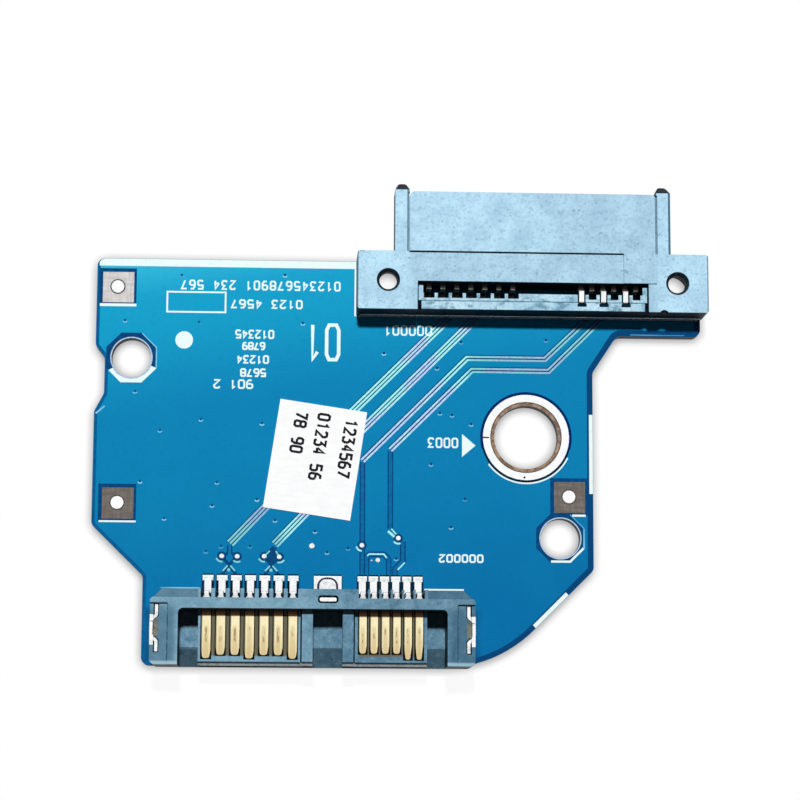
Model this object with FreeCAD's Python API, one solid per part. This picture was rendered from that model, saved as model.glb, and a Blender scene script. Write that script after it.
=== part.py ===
import FreeCAD, Part
import math
import os

Vec = FreeCAD.Vector

# Circuit board: lengths in millimetres, measured from the axis of the screw hole
board_width = 45.25
board_depth = 36.95
board_thickness = 1.2
screw_to_right = 6.1
screw_to_back = 16.1
corner_round = 0.7
left_cut_width = 4.7
left_cut_height = 4.58
left_cut_to_front = 7.97
right_cut = 8.8
right_cut_round = 11.5
neck_width = 2.25
neck_height = 3.45
tab_margin = 1.6
tab_inset = 0.25
edge_notch_depth = 0.86
edge_notch_length = 6.05
edge_notch_back_slope = 1.1
edge_notch_front_slope = 1.65
edge_notch_past_hole = 1.1

# Holes of the board and the tinned ring around the screw hole
screw_hole_diameter = 5.8
ring_gap = 0.36
ring_width = 0.66
plating_thickness = 0.05
locating_hole_diameter = 3.6
left_hole_to_edge = 3.26
left_hole_to_back = 9.18
right_hole_to_edge = 3.0
right_hole_to_front = 11.67

# Fiducial pads: distances to the nearest edges
fiducial_diameter = 1.15
back_fiducial_to_edge = 1.89
back_fiducial_to_back = 2.63
left_fiducial_to_edge = 2.26
left_fiducial_to_front = 14.53
right_fiducial_to_edge = 2.21
right_fiducial_to_front = 15.45

# Paper label
label_width = 7.95
label_length = 10.0
label_thickness = 0.1
label_turn = -8.4
label_x = -19.13
label_y = -2.25

# Contact rows, the same in both connectors
signal_count = 7
signal_pitch = 1.27
power_count = 6
power_pitch = 1.0
row_gap = 6.2

# Keyed tongue of the plug, which the slots of the receptacle repeat
tongue_margin = 0.7
tongue_thickness = 1.25
key_offset = 0.82
key_width = 0.97
key_height = 0.5
key_line = 0.12
key_line_depth = 0.3

# Plug: heights from the top of the board, depths from its front face
plug_to_left = 19.95
plug_overhang = 0.15
plug_depth = 6.7
plug_height = 4.5
plug_wall = 1.75
plug_arm = 2.47
plug_side_gap = 1.72
plug_floor = 0.6
plug_lip = 0.25
plug_ramp = 1.75
plug_rear_chamfer = 1.0
plug_front_round = 0.5
cavity_round = 0.45
tongue_setback = 0.35
tongue_top = 2.9
ledge_depth = 0.8
ledge_drop = 0.7
arm_step_width = 1.55
arm_step_drop = 0.2
arm_step_length = 5.4
arm_slit_width = 0.1
arm_slit_depth = 1.0

# Plug contacts
contact_thickness = 0.2
contact_proud = 0.04
contact_fit = 0.02
signal_contact_width = 0.82
power_contact_width = 0.7
groove_side_gap = 0.08
groove_end_gap = 0.1
contact_tip_setback = 0.66
signal_short_setback = 0.3
power_short_setback = 0.5
tip_taper = 0.7
tip_narrowing = 0.3
long_power_taper = 1.3
long_power_narrowing = 0.45
tip_roundness = 0.8
notch_depth = 0.8
notch_side_gap = 0.05
flare_length = 0.3
tail_neck_width = 0.42
tail_foot_width = 0.62
leg_gap = 0.52
tail_reach = 1.05
pad_reach = 1.53
pad_gap = 0.05
plug_pad_margin = 0.07

# Hold-downs of the plug
clip_thickness = 0.3
clip_height = 4.0
clip_front = 1.15
clip_end_length = 0.95
clip_slope = 0.4
clip_middle_length = 1.45
clip_step = 0.45
clip_proud = 0.03
clip_fit = 0.08
tab_plate_width = 1.5
tab_plate_thickness = 0.36
tab_plate_recess = 0.2
tab_plate_to_rear = 0.9
tab_foot_reach = 1.2
tab_foot_round = 0.6
tab_fit = 0.15
tab_roundness = 0.8
tab_bend_room = 0.1
tab_pad_margin = 0.5

# Receptacle: heights from the top of the board, depths from its rear face
receptacle_to_right = 5.71
receptacle_rear_to_edge = 5.03
flange_depth = 5.35
flange_height = 3.5
flange_round = 0.25
hole_diameter = 1.6
hole_mouth_diameter = 2.13
hole_mouth_depth = 0.4
hole_relief_diameter = 3.1
hole_relief_height = 2.3
hole_to_window = 2.65
hole_to_end = 2.8
hole_depth_place = 2.67
window_margin = 1.06
window_depth = 2.6
body_length = 5.5
body_margin = 1.8
body_rise = 0.12
body_below_board = 0.8
body_round = 0.5
guide_width = 1.32
guide_lead = 0.22
guide_drop = 0.15
guide_below = 0.3
guide_line = 0.12
line_depth = 0.6
joint_line = 0.12
nose_length = 0.77
nose_taper = 0.32
nose_tip_height = 0.8
riser_width = 3.0
gate_radius = 0.45
gate_depth = 0.2
gate_height = 0.6
gate_to_hole = 1.25

# Slots and contacts of the receptacle
slot_clearance = 0.08
slot_ceiling = 2.25
slot_end_wall = 0.35
beam_width = 0.45
beam_thickness = 0.18
beam_rise = 0.22
beam_fit = 0.03
channel_side_gap = 0.09
channel_height = 0.45
channel_lip = 0.35
beam_tip_setback = 0.5
bump_setback = 1.35
bump_reach = 0.42
leg_depth = 2.1
staggered_leg_depth = 0.92
hump_depth = 1.95
hump_height = 3.05
pad_length = 0.9
pad_side_margin = 0.12

# Tail comb in the receptacle's rear window
comb_drop = 0.1
comb_rear_gap = 0.05
comb_end_gap = 0.35
comb_bar = 0.75
comb_tooth_length = 0.8
comb_tooth_drop = 0.3
comb_slot_length = 0.45
comb_tooth_width = 0.3
comb_ear_width = 0.42
comb_ear_length = 0.7
comb_ear_gap = 0.1
comb_foot_height = 3.0
comb_foot_gap = 0.04
comb_pocket_gap = 0.12
comb_line = 0.1
comb_line_depth = 0.35

# Lengths and angles below these count as none
no_length = 1e-7
no_angle = 1e-6

# A corner's arc takes at most this share of the sides beside it
arc_share = 0.49

# Places worked out from the sizes above
board_right = screw_to_right
board_left = board_right - board_width
board_back = screw_to_back
board_front = board_back - board_depth
left_hole_y = board_back - left_hole_to_back
right_hole_y = board_front + right_hole_to_front
plug_x = board_left + plug_to_left
plug_front = board_front - plug_overhang
receptacle_x = board_right - receptacle_to_right
receptacle_rear = board_back - receptacle_rear_to_edge

signal_span = (signal_count - 1) * signal_pitch
power_span = (power_count - 1) * power_pitch
half_span = (signal_span + row_gap + power_span) / 2
signal_places = [-half_span + i * signal_pitch for i in range(signal_count)]
power_places = [half_span - power_span + i * power_pitch for i in range(power_count)]

cavity_half = half_span + tongue_margin + plug_side_gap
plug_half = cavity_half + plug_arm
wall_front = plug_depth - plug_wall
notch_front = plug_depth - notch_depth
groove_floor = tongue_top + contact_proud - contact_thickness
key_gap_middle = (signal_places[-1] + power_places[0]) / 2

window_half = half_span + window_margin
flange_hole_x = window_half + hole_to_window
flange_half = flange_hole_x + hole_to_end
body_half = half_span + body_margin
body_front = flange_depth + body_length
body_top = flange_height + body_rise
guide_half = body_half + guide_width
slot_floor = slot_ceiling - tongue_thickness - slot_clearance
slot_rear = flange_depth + slot_end_wall
beam_level = slot_ceiling + beam_rise
comb_top = flange_height - comb_drop
comb_half = window_half - comb_end_gap
comb_tooth_top = comb_top - comb_tooth_drop
comb_back = comb_rear_gap + comb_bar
comb_tip = comb_back + comb_tooth_length
tab_right = receptacle_x + flange_half - tab_inset
tab_front = receptacle_rear - tab_margin


def outline(corners):
    """Closed wire through corners (u, v, radius), with a tangent arc at each corner that has a radius."""
    edges = []
    ends = []
    count = len(corners)
    for i in range(count):
        u, v, radius = corners[i]
        here = Vec(u, v, 0)
        before = Vec(*corners[i - 1][:2], 0)
        after = Vec(*corners[(i + 1) % count][:2], 0)
        to_before = before - here
        to_after = after - here
        angle = to_before.getAngle(to_after)
        if radius <= 0 or abs(math.pi - angle) < no_angle:
            ends.append((here, here, None))
            continue
        reach = radius / math.tan(angle / 2)
        reach = min(reach, arc_share * to_before.Length, arc_share * to_after.Length)
        radius = reach * math.tan(angle / 2)
        to_before.normalize()
        to_after.normalize()
        middle = to_before + to_after
        middle.normalize()
        top = here + middle * (radius / math.sin(angle / 2) - radius)
        ends.append((here + to_before * reach, here + to_after * reach, top))
    for i in range(count):
        start, stop, top = ends[i]
        if top is not None:
            edges.append(Part.Arc(start, top, stop).toShape())
        following = ends[(i + 1) % count][0]
        if (following - stop).Length > no_length:
            edges.append(Part.LineSegment(stop, following).toShape())
    return Part.Wire(edges)


def prism(corners, low, high):
    """Upright prism over corners given as (x, y, radius)."""
    face = Part.Face(outline(corners))
    face.translate(Vec(0, 0, low))
    return face.extrude(Vec(0, 0, high - low))


def side_prism(corners, left, right):
    """Prism along X over corners given as (y, z, radius)."""
    solid = prism(corners, 0, right - left)
    solid.Placement = FreeCAD.Placement(Vec(left, 0, 0), FreeCAD.Rotation(Vec(1, 1, 1), 120))
    return solid


def front_prism(corners, front, back):
    """Prism along Y over corners given as (x, z, radius)."""
    solid = prism(corners, 0, back - front)
    solid.Placement = FreeCAD.Placement(Vec(0, back, 0), FreeCAD.Rotation(Vec(1, 0, 0), 90))
    return solid


def box(x0, x1, y0, y1, z0, z1):
    return Part.makeBox(x1 - x0, y1 - y0, z1 - z0, Vec(x0, y0, z0))


def rectangle(x0, x1, y0, y1, radius=0.0):
    return [(x0, y0, radius), (x1, y0, radius), (x1, y1, radius), (x0, y1, radius)]


def strip(points, thickness, outer_round):
    """Corners of a bent strip of sheet metal along a centre line, with the outside of its bends rounded."""
    line = [Vec(u, v, 0) for u, v in points]
    runs = [(line[i + 1] - line[i]).normalize() for i in range(len(line) - 1)]
    left_side = []
    right_side = []
    for i, point in enumerate(line):
        first = runs[max(i - 1, 0)]
        second = runs[min(i, len(runs) - 1)]
        normal = Vec(-first.y - second.y, first.x + second.x, 0)
        normal.normalize()
        cosine = -normal.x * first.y + normal.y * first.x
        offset = normal * (thickness / 2 / cosine)
        turn = first.x * second.y - first.y * second.x
        left_round = outer_round if turn < -no_angle else 0
        right_round = outer_round if turn > no_angle else 0
        left_side.append((point.x + offset.x, point.y + offset.y, left_round))
        right_side.append((point.x - offset.x, point.y - offset.y, right_round))
    return right_side + left_side[::-1]


def keyed_section(side, low, high, grow):
    """Corners (x, z) of one keyed tongue, or of its slot when grown; side is -1 for signal, 1 for power."""
    near = signal_places[-1] if side < 0 else power_places[0]
    outer = side * (half_span + tongue_margin + grow)
    key_start = near - side * (key_offset - grow)
    key_end = near - side * (key_offset + key_width + grow)
    top = high + grow
    key_top = high + key_height + grow
    return [
        (outer, low - grow, 0), (key_end, low - grow, 0), (key_end, key_top, 0),
        (key_start, key_top, 0), (key_start, top, 0), (outer, top, 0),
    ]


def on_board(solid, x, y):
    """Moves a piece from its connector's own frame to its place on top of the board."""
    return solid.translated(Vec(x, y, board_thickness))


def plug_frame(solid):
    return on_board(solid, plug_x, plug_front)


def receptacle_frame(solid):
    return on_board(solid, receptacle_x, receptacle_rear)


def make_board():
    notch_back = left_hole_y + edge_notch_past_hole
    notch_front_end = notch_back - edge_notch_length
    notch_x = board_left + edge_notch_depth
    lower_left = board_left + left_cut_width
    cut_low = board_front + left_cut_to_front
    face = Part.Face(outline([
        (board_left, board_back, corner_round),
        (tab_right, board_back, corner_round),
        (tab_right, tab_front, corner_round),
        (board_right + neck_width, tab_front, corner_round),
        (board_right, tab_front - neck_height, corner_round),
        (board_right, board_front + right_cut, corner_round),
        (board_right - right_cut, board_front, right_cut_round),
        (lower_left, board_front, corner_round),
        (lower_left, cut_low, corner_round),
        (board_left, cut_low + left_cut_height, corner_round),
        (board_left, notch_front_end, corner_round),
        (notch_x, notch_front_end + edge_notch_front_slope, corner_round),
        (notch_x, notch_back - edge_notch_back_slope, corner_round),
        (board_left, notch_back, corner_round),
    ]))
    board = face.extrude(Vec(0, 0, board_thickness))
    for x, y, diameter in board_holes():
        board = board.cut(Part.makeCylinder(diameter / 2, board_thickness, Vec(x, y, 0)))
    return board


def board_holes():
    fixing_y = receptacle_rear + hole_depth_place
    return [
        (0, 0, screw_hole_diameter),
        (board_left + left_hole_to_edge, left_hole_y, locating_hole_diameter),
        (board_right - right_hole_to_edge, right_hole_y, locating_hole_diameter),
        (receptacle_x - flange_hole_x, fixing_y, hole_relief_diameter),
        (receptacle_x + flange_hole_x, fixing_y, hole_relief_diameter),
    ]


def make_ground_ring():
    inner = screw_hole_diameter / 2 + ring_gap
    low = Vec(0, 0, board_thickness)
    disc = Part.makeCylinder(inner + ring_width, plating_thickness, low)
    return disc.cut(Part.makeCylinder(inner, plating_thickness, low))


def make_fiducial_pads():
    places = [
        (board_left + back_fiducial_to_edge, board_back - back_fiducial_to_back),
        (board_left + left_fiducial_to_edge, board_front + left_fiducial_to_front),
        (board_right - right_fiducial_to_edge, board_front + right_fiducial_to_front),
    ]
    radius = fiducial_diameter / 2
    return [Part.makeCylinder(radius, plating_thickness, Vec(x, y, board_thickness)) for x, y in places]


def make_label():
    half_width = label_width / 2
    half_length = label_length / 2
    label = box(-half_width, half_width, -half_length, half_length, 0, label_thickness)
    label.rotate(Vec(0, 0, 0), Vec(0, 0, 1), label_turn)
    return on_board(label, label_x, label_y)


def plug_contacts():
    """Place, width, setback, taper and narrowing of every plug contact: the long ones mate first."""
    rows = []
    middle = (signal_count - 1) // 2
    for i, x in enumerate(signal_places):
        is_long = i in (0, middle, signal_count - 1)
        setback = contact_tip_setback + (0 if is_long else signal_short_setback)
        rows.append((x, signal_contact_width, setback, tip_taper, tip_narrowing))
    for i, x in enumerate(power_places):
        is_long = i >= power_count - 2
        if is_long:
            tip = (contact_tip_setback, long_power_taper, long_power_narrowing)
        else:
            tip = (contact_tip_setback + power_short_setback, tip_taper, tip_narrowing)
        rows.append((x, power_contact_width, *tip))
    return rows


def make_plug_contact(x, width, setback, taper, narrowing):
    """Flat blade that narrows to a neck behind the wall, bends down and ends in a wider foot."""
    half = width / 2
    tip_half = half * (1 - narrowing)
    tip_round = tip_half * tip_roundness
    neck_half = tail_neck_width / 2
    foot_half = tail_foot_width / 2
    flare_end = notch_front + flare_length
    blade = prism([
        (x - half, notch_front, 0), (x - half, setback + taper, 0),
        (x - tip_half, setback, tip_round), (x + tip_half, setback, tip_round),
        (x + half, setback + taper, 0), (x + half, notch_front, 0),
        (x + neck_half, flare_end, 0), (x - neck_half, flare_end, 0),
    ], groove_floor, groove_floor + contact_thickness)
    level = groove_floor + contact_thickness / 2
    leg = notch_front + leg_gap + contact_thickness / 2
    foot_level = plating_thickness + contact_thickness / 2
    end = plug_depth + tail_reach
    neck = side_prism(strip([
        (notch_front, level), (leg, level), (leg, foot_level), (end, foot_level),
    ], contact_thickness, contact_thickness), x - neck_half, x + neck_half)
    foot = box(x - foot_half, x + foot_half, leg + contact_thickness / 2, end,
               plating_thickness, plating_thickness + contact_thickness)
    return blade.fuse([neck, foot]).removeSplitter()


def clip_line(side):
    """Centre line of a side hold-down in plan: its ends sit in the arm, its middle is at the outer face."""
    outer = side * (plug_half + clip_proud - clip_thickness / 2)
    inner = outer - side * clip_step
    y1 = clip_front
    y2 = y1 + clip_end_length
    y3 = y2 + clip_slope
    y4 = y3 + clip_middle_length
    y5 = y4 + clip_slope
    y6 = y5 + clip_end_length
    return [(inner, y1), (inner, y2), (outer, y3), (outer, y4), (inner, y5), (inner, y6)]


def make_clip(side):
    return prism(strip(clip_line(side), clip_thickness, clip_thickness), 0, clip_height)


def clip_slot(side):
    """Room for a side hold-down in its arm, open to the outer face along the clip's middle."""
    line = clip_line(side)
    line[0] = (line[0][0], line[0][1] - clip_fit)
    line[-1] = (line[-1][0], line[-1][1] + clip_fit)
    slot = prism(strip(line, clip_thickness + 2 * clip_fit, 0), 0, plug_height)
    outer = side * (plug_half + clip_thickness)
    inner = side * (plug_half - clip_thickness / 2)
    mouth = box(min(outer, inner), max(outer, inner), line[2][1], line[3][1], 0, plug_height)
    return slot.fuse(mouth)


def tab_plate_place():
    return plug_depth - tab_plate_to_rear


def make_center_tab():
    plate = tab_plate_place()
    top = plug_height - tab_plate_recess
    foot = plating_thickness + tab_plate_thickness / 2
    end = plug_depth + tab_foot_reach
    half = tab_plate_width / 2
    left = key_gap_middle - half
    right = key_gap_middle + half
    line = [(plate, top), (plate, foot), (end, foot)]
    bent = side_prism(strip(line, tab_plate_thickness, tab_plate_thickness), left, right)
    reach = tab_plate_thickness / 2
    plan = rectangle(left, right, plate - reach, plate + reach, reach * tab_roundness)
    upright = prism(plan, 0, plug_height)
    foot_plan = prism([
        (left, plate, 0), (right, plate, 0), (right, end, tab_foot_round), (left, end, tab_foot_round),
    ], 0, foot + reach + tab_bend_room)
    return bent.common(upright.fuse(foot_plan)).removeSplitter()


def tab_slot():
    """Upright slot and the tunnel to the rear for the centre tab."""
    plate = tab_plate_place()
    half = tab_plate_width / 2 + tab_fit
    reach = tab_plate_thickness / 2 + tab_fit
    left = key_gap_middle - half
    right = key_gap_middle + half
    foot_top = plating_thickness + tab_plate_thickness + tab_bend_room + tab_fit
    plan = rectangle(left, right, plate - reach, plate + reach, reach * tab_roundness)
    upright = prism(plan, 0, plug_height)
    tunnel = box(left, right, plate - reach, plug_depth, 0, foot_top)
    return upright.fuse(tunnel)


def make_plug_housing():
    housing = prism([
        (-plug_half, 0, plug_front_round), (plug_half, 0, plug_front_round),
        (plug_half, plug_depth - plug_rear_chamfer, 0), (plug_half - plug_rear_chamfer, plug_depth, 0),
        (plug_rear_chamfer - plug_half, plug_depth, 0), (-plug_half, plug_depth - plug_rear_chamfer, 0),
    ], 0, plug_height)

    # The mating space, with arms at its sides and a floor that falls to a lip in front
    reach = plug_front_round * 2
    cavity = prism([
        (-cavity_half, -reach, 0), (cavity_half, -reach, 0),
        (cavity_half, wall_front, cavity_round), (-cavity_half, wall_front, cavity_round),
    ], plug_floor, plug_height)
    ramp = side_prism([
        (0, plug_lip, 0), (plug_ramp, plug_floor, 0), (0, plug_floor, 0),
    ], -cavity_half, cavity_half)
    housing = housing.cut(cavity).cut(ramp)

    tongue_low = tongue_top - tongue_thickness
    tongues = [
        front_prism(keyed_section(side, tongue_low, tongue_top, 0), tongue_setback, wall_front)
        for side in (-1, 1)
    ]
    housing = housing.fuse(tongues)

    cuts = [tab_slot(), clip_slot(-1), clip_slot(1)]
    for x, width, setback, _, _ in plug_contacts():
        half = width / 2 + groove_side_gap
        top = groove_floor + contact_thickness + contact_fit
        cuts.append(box(x - half, x + half, setback - groove_end_gap, notch_front, groove_floor, top))
        notch = width / 2 + notch_side_gap
        cuts.append(box(x - notch, x + notch, notch_front, plug_depth, 0, plug_height))
    for side in (-1, 1):
        inner = side * (half_span + tongue_margin)
        outer = side * plug_half
        ends = sorted((inner, outer))
        cuts.append(box(*ends, plug_depth - ledge_depth, plug_depth, plug_height - ledge_drop, plug_height))
        ends = sorted((outer, outer - side * arm_step_width))
        cuts.append(box(*ends, 0, arm_step_length, plug_height - arm_step_drop, plug_height))
        cuts.append(box(*ends, arm_step_length - arm_slit_width, arm_step_length,
                        plug_height - arm_slit_depth, plug_height))
        key_start = (signal_places[-1] if side < 0 else power_places[0]) - side * key_offset
        ends = sorted((key_start, key_start + side * key_line))
        cuts.append(box(*ends, tongue_setback, wall_front, tongue_top - key_line_depth, tongue_top))
    return housing.cut(cuts).removeSplitter()


def make_plug_pads():
    front = plug_depth + pad_gap
    back = plug_depth + pad_reach
    pads = []
    for x, width, *_ in plug_contacts():
        half = width / 2 + plug_pad_margin
        pads.append(box(x - half, x + half, front, back, 0, plating_thickness))
    half = tab_plate_width / 2 + tab_pad_margin
    pads.append(box(key_gap_middle - half, key_gap_middle + half, front, back, 0, plating_thickness))
    return [plug_frame(pad) for pad in pads]


def receptacle_contacts():
    """Place of every receptacle contact, and whether its tail is the staggered one."""
    rows = [(x, False) for x in signal_places]
    rows += [(x, i % 2 == 0) for i, x in enumerate(power_places)]
    return rows


def make_receptacle_contact(x, staggered):
    tip = body_front - beam_tip_setback
    bump = body_front - bump_setback
    spring = [(slot_rear, beam_level), (bump, beam_level - bump_reach), (tip, beam_level)]
    if staggered:
        tail = [
            (staggered_leg_depth, plating_thickness), (staggered_leg_depth, hump_height),
            (hump_depth, hump_height), (hump_depth, beam_level),
        ]
    else:
        tail = [(leg_depth, plating_thickness), (leg_depth, beam_level)]
    corners = strip(tail + spring, beam_thickness, beam_thickness)
    return side_prism(corners, x - beam_width / 2, x + beam_width / 2)


def make_receptacle_pads():
    pads = []
    half = beam_width / 2 + pad_side_margin
    for x, staggered in receptacle_contacts():
        place = staggered_leg_depth if staggered else leg_depth
        front = place - (beam_thickness / 2 + comb_pocket_gap if staggered else pad_length / 2)
        back = place + (beam_thickness / 2 + comb_pocket_gap if staggered else pad_length / 2)
        pads.append(box(x - half, x + half, front, back, 0, plating_thickness))
    return [receptacle_frame(pad) for pad in pads]


def make_guide(side):
    """Guide arm beside the mating body, with a nose in front that tapers on all sides."""
    inner = side * body_half
    outer = side * guide_half
    front = body_front + guide_lead
    low, high = guide_below, flange_height - guide_drop
    arm = box(min(inner, outer), max(inner, outer), flange_depth, front, low, high)
    tip = front + nose_length
    nose = prism([
        (inner, front, 0), (outer, front, 0),
        (outer - side * nose_taper, tip, nose_taper), (inner + side * nose_taper, tip, nose_taper),
    ], low, high)
    tip_low = (low + high - nose_tip_height) / 2
    profile = side_prism([
        (front, low, 0), (tip, tip_low, 0), (tip, tip_low + nose_tip_height, 0), (front, high, 0),
    ], min(inner, outer), max(inner, outer))
    return arm.fuse(nose.common(profile))


def make_receptacle_housing():
    flange = prism(rectangle(-flange_half, flange_half, 0, flange_depth, flange_round), 0, flange_height)
    body = prism([
        (-body_half, flange_depth, 0), (body_half, flange_depth, 0),
        (body_half, body_front, body_round), (-body_half, body_front, body_round),
    ], -body_below_board, body_top)
    riser = box(body_half - riser_width, body_half, window_depth, flange_depth, 0, body_top)
    housing = flange.fuse([body, riser, make_guide(-1), make_guide(1)])

    cuts = [box(-window_half, window_half, 0, window_depth, 0, flange_height)]
    for side in (-1, 1):
        section = keyed_section(side, slot_floor + slot_clearance, slot_ceiling, slot_clearance)
        cuts.append(front_prism(section, slot_rear, body_front))
        line = sorted((side * body_half, side * (body_half + guide_line)))
        cuts.append(box(*line, flange_depth, body_front, body_top - line_depth, body_top))
        fixing = Vec(side * flange_hole_x, hole_depth_place, 0)
        mouth = Vec(fixing.x, fixing.y, flange_height - hole_mouth_depth)
        cuts.append(Part.makeCylinder(hole_diameter / 2, flange_height, fixing))
        cuts.append(Part.makeCylinder(hole_relief_diameter / 2, hole_relief_height, fixing))
        cuts.append(Part.makeCone(hole_diameter / 2, hole_mouth_diameter / 2, hole_mouth_depth, mouth))
    half = beam_width / 2 + channel_side_gap
    reach = beam_thickness / 2 + beam_fit
    for x, _ in receptacle_contacts():
        cuts.append(box(x - half, x + half, window_depth, slot_rear, beam_level - reach, beam_level + reach))
        cuts.append(box(x - half, x + half, slot_rear, body_front - channel_lip,
                        slot_ceiling, slot_ceiling + channel_height))
    cuts.append(box(-body_half - guide_line, body_half - riser_width,
                    flange_depth - joint_line, flange_depth, body_top - line_depth, body_top))
    gate = Vec(flange_hole_x - gate_to_hole, gate_depth - gate_radius, flange_height - gate_height)
    cuts.append(Part.makeCylinder(gate_radius, gate_height, gate))
    return housing.cut(cuts).removeSplitter()


def make_comb():
    """Comb that lines up the tails: a bar on a wide foot, teeth between the tails and an ear at each end."""
    bar = box(-comb_half, comb_half, comb_rear_gap, comb_back, 0, comb_top)
    teeth = box(-comb_half, comb_half, comb_back, comb_tip, 0, comb_tooth_top)
    foot_half = window_half - comb_foot_gap
    pieces = [teeth, box(-foot_half, foot_half, comb_rear_gap, comb_back, 0, comb_foot_height)]
    ear_outer = window_half - comb_ear_gap
    ear_inner = ear_outer - comb_ear_width
    for side in (-1, 1):
        ends = sorted((side * ear_inner, side * ear_outer))
        pieces.append(box(*ends, comb_back, comb_tip + comb_ear_length, 0, comb_tooth_top))
    comb = bar.fuse(pieces)
    cuts = [box(-ear_outer, ear_outer, comb_back, comb_back + comb_line,
                comb_tooth_top - comb_line_depth, comb_tooth_top)]
    for x, staggered in receptacle_contacts():
        if staggered:
            half = beam_width / 2 + comb_pocket_gap
            place = staggered_leg_depth
            reach = beam_thickness / 2 + comb_pocket_gap
            cuts.append(box(x - half, x + half, place - reach, place + reach, 0, comb_top))
            cuts.append(box(x - half, x + half, place, comb_tip, hump_height - reach, comb_top))
        else:
            pitch = signal_pitch if x in signal_places else power_pitch
            half = (pitch - comb_tooth_width) / 2
            cuts.append(box(x - half, x + half, comb_tip - comb_slot_length, comb_tip, 0, comb_tooth_top))
    return comb.cut(cuts).removeSplitter()


def build():
    nodes = {
        "circuit_board": make_board(),
        "ground_ring": make_ground_ring(),
        "fiducial_pads": make_fiducial_pads(),
        "paper_label": make_label(),
        "plug_housing": plug_frame(make_plug_housing()),
        "plug_solder_pads": make_plug_pads(),
        "plug_hold_down_left": plug_frame(make_clip(-1)),
        "plug_hold_down_right": plug_frame(make_clip(1)),
        "plug_center_tab": plug_frame(make_center_tab()),
        "receptacle_housing": receptacle_frame(make_receptacle_housing()),
        "receptacle_tail_comb": receptacle_frame(make_comb()),
        "receptacle_solder_pads": make_receptacle_pads(),
    }
    names = [f"signal_contact_{i + 1}" for i in range(signal_count)]
    names += [f"power_contact_{i + 1}" for i in range(power_count)]
    for name, row in zip(names, plug_contacts()):
        nodes["plug_" + name] = plug_frame(make_plug_contact(*row))
    for name, row in zip(names, receptacle_contacts()):
        nodes["receptacle_" + name] = receptacle_frame(make_receptacle_contact(*row))
    return nodes


os.makedirs("parts", exist_ok=True)
for node, shape in build().items():
    if isinstance(shape, list):
        shape = Part.makeCompound(shape)
    shape.exportStep(f"parts/{node}.step")
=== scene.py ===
import math
from functools import partialmethod
import bmesh
import bpy
from mathutils import Matrix, Vector


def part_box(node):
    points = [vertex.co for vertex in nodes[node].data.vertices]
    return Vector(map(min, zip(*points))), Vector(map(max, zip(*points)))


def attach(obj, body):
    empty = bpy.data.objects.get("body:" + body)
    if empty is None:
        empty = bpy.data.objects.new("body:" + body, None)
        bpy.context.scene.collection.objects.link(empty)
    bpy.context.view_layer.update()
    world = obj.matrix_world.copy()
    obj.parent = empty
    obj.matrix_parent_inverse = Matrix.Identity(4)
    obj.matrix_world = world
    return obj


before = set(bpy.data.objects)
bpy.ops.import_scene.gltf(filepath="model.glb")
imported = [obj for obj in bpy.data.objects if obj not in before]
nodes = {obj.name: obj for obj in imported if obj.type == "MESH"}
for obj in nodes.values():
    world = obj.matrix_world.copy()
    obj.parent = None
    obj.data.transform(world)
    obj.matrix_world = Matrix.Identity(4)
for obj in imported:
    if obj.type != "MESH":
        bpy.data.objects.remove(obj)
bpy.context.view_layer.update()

# Lengths below are millimetres in the part's frame; MM turns them into metres
MM = 0.001

# Camera, fitted to the contact rows; angles in degrees
IMAGE_WIDTH = 800
VIEW_TILT = 9.34
VIEW_TURN = -15.1
VIEW_ROLL = 0.3
VIEW_DISTANCE = 223.5
VIEW_PIXELS_PER_MM = 10.998
VIEW_POINT = (-11.48, 3.31)
SENSOR_WIDTH = 36.0
CLIP_START = 0.01

# Light: angle from the zenith towards +Y, distance, size, level on a white surface
KEY_ANGLE = 18.5
KEY_TURN = 6.0
KEY_DISTANCE = 600.0
KEY_SIZE = 45.0
KEY_LEVEL = 0.98
WORLD_STRENGTH = 0.03
WHITE = (1, 1, 1, 1)

# Floor: drop below the board, half width, glow to the camera, own tone, reach of the contact shade
FLOOR_DROP = 0.02
FLOOR_HALF = 900.0
FLOOR_GLOW = 0.94
FLOOR_SHADE = 0.06
CONTACT_REACH = 0.9

# Boxes of solids, and lengths of their forms
board_low, board_high = [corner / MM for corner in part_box("circuit_board")]
ring_low, ring_high = [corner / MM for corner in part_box("ground_ring")]
plug_low, plug_high = [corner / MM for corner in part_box("plug_housing")]
pads_low, pads_high = [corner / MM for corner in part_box("plug_solder_pads")]
tab_low, tab_high = [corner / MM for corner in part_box("plug_center_tab")]
receptacle_low, receptacle_high = [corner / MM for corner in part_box("receptacle_housing")]
comb_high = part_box("receptacle_tail_comb")[1] / MM
PLUG_CONTACTS = [[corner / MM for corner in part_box(name)] for name in nodes
                 if name.startswith("plug_") and "_contact_" in name]
BOARD_TOP = board_high.z
RING_RADIUS = (ring_high.x - ring_low.x) / 2
RING_TOP = ring_high.z
RING_INNER = 3.26
RECEPTACLE_MIDDLE = (receptacle_low.x + receptacle_high.x) / 2
# Where the receptacle's shadow reaches on the board; painted glints give way to painted shadow past it
RECEPTACLE_SHADE = 10.0
FLANGE_DEPTH = 5.35
FLANGE_END = 4.71
FLANGE_RIM = 0.1
NOSE_LENGTH = 0.77
GUIDE_WIDTH = 1.32
GUIDE_LINE = 0.06
GUIDE_LINE_SHIFT = -0.085
GUIDE_RIM = 0.2
PLUG_MIDDLE = (plug_low.x + plug_high.x) / 2
PLUG_HALF = (plug_high.x - plug_low.x) / 2
PLUG_WALL = 1.75
PLUG_ARM = 2.47
WALL_FRONT = plug_high.y - PLUG_WALL
TONGUE_TOP = BOARD_TOP + 2.9
LEDGE_TOP = plug_high.z - 0.7
ARM_STEP_TOP = plug_high.z - 0.2
ARM_STEP_WIDTH = 1.55
ARM_STEP_LENGTH = 5.3

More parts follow.
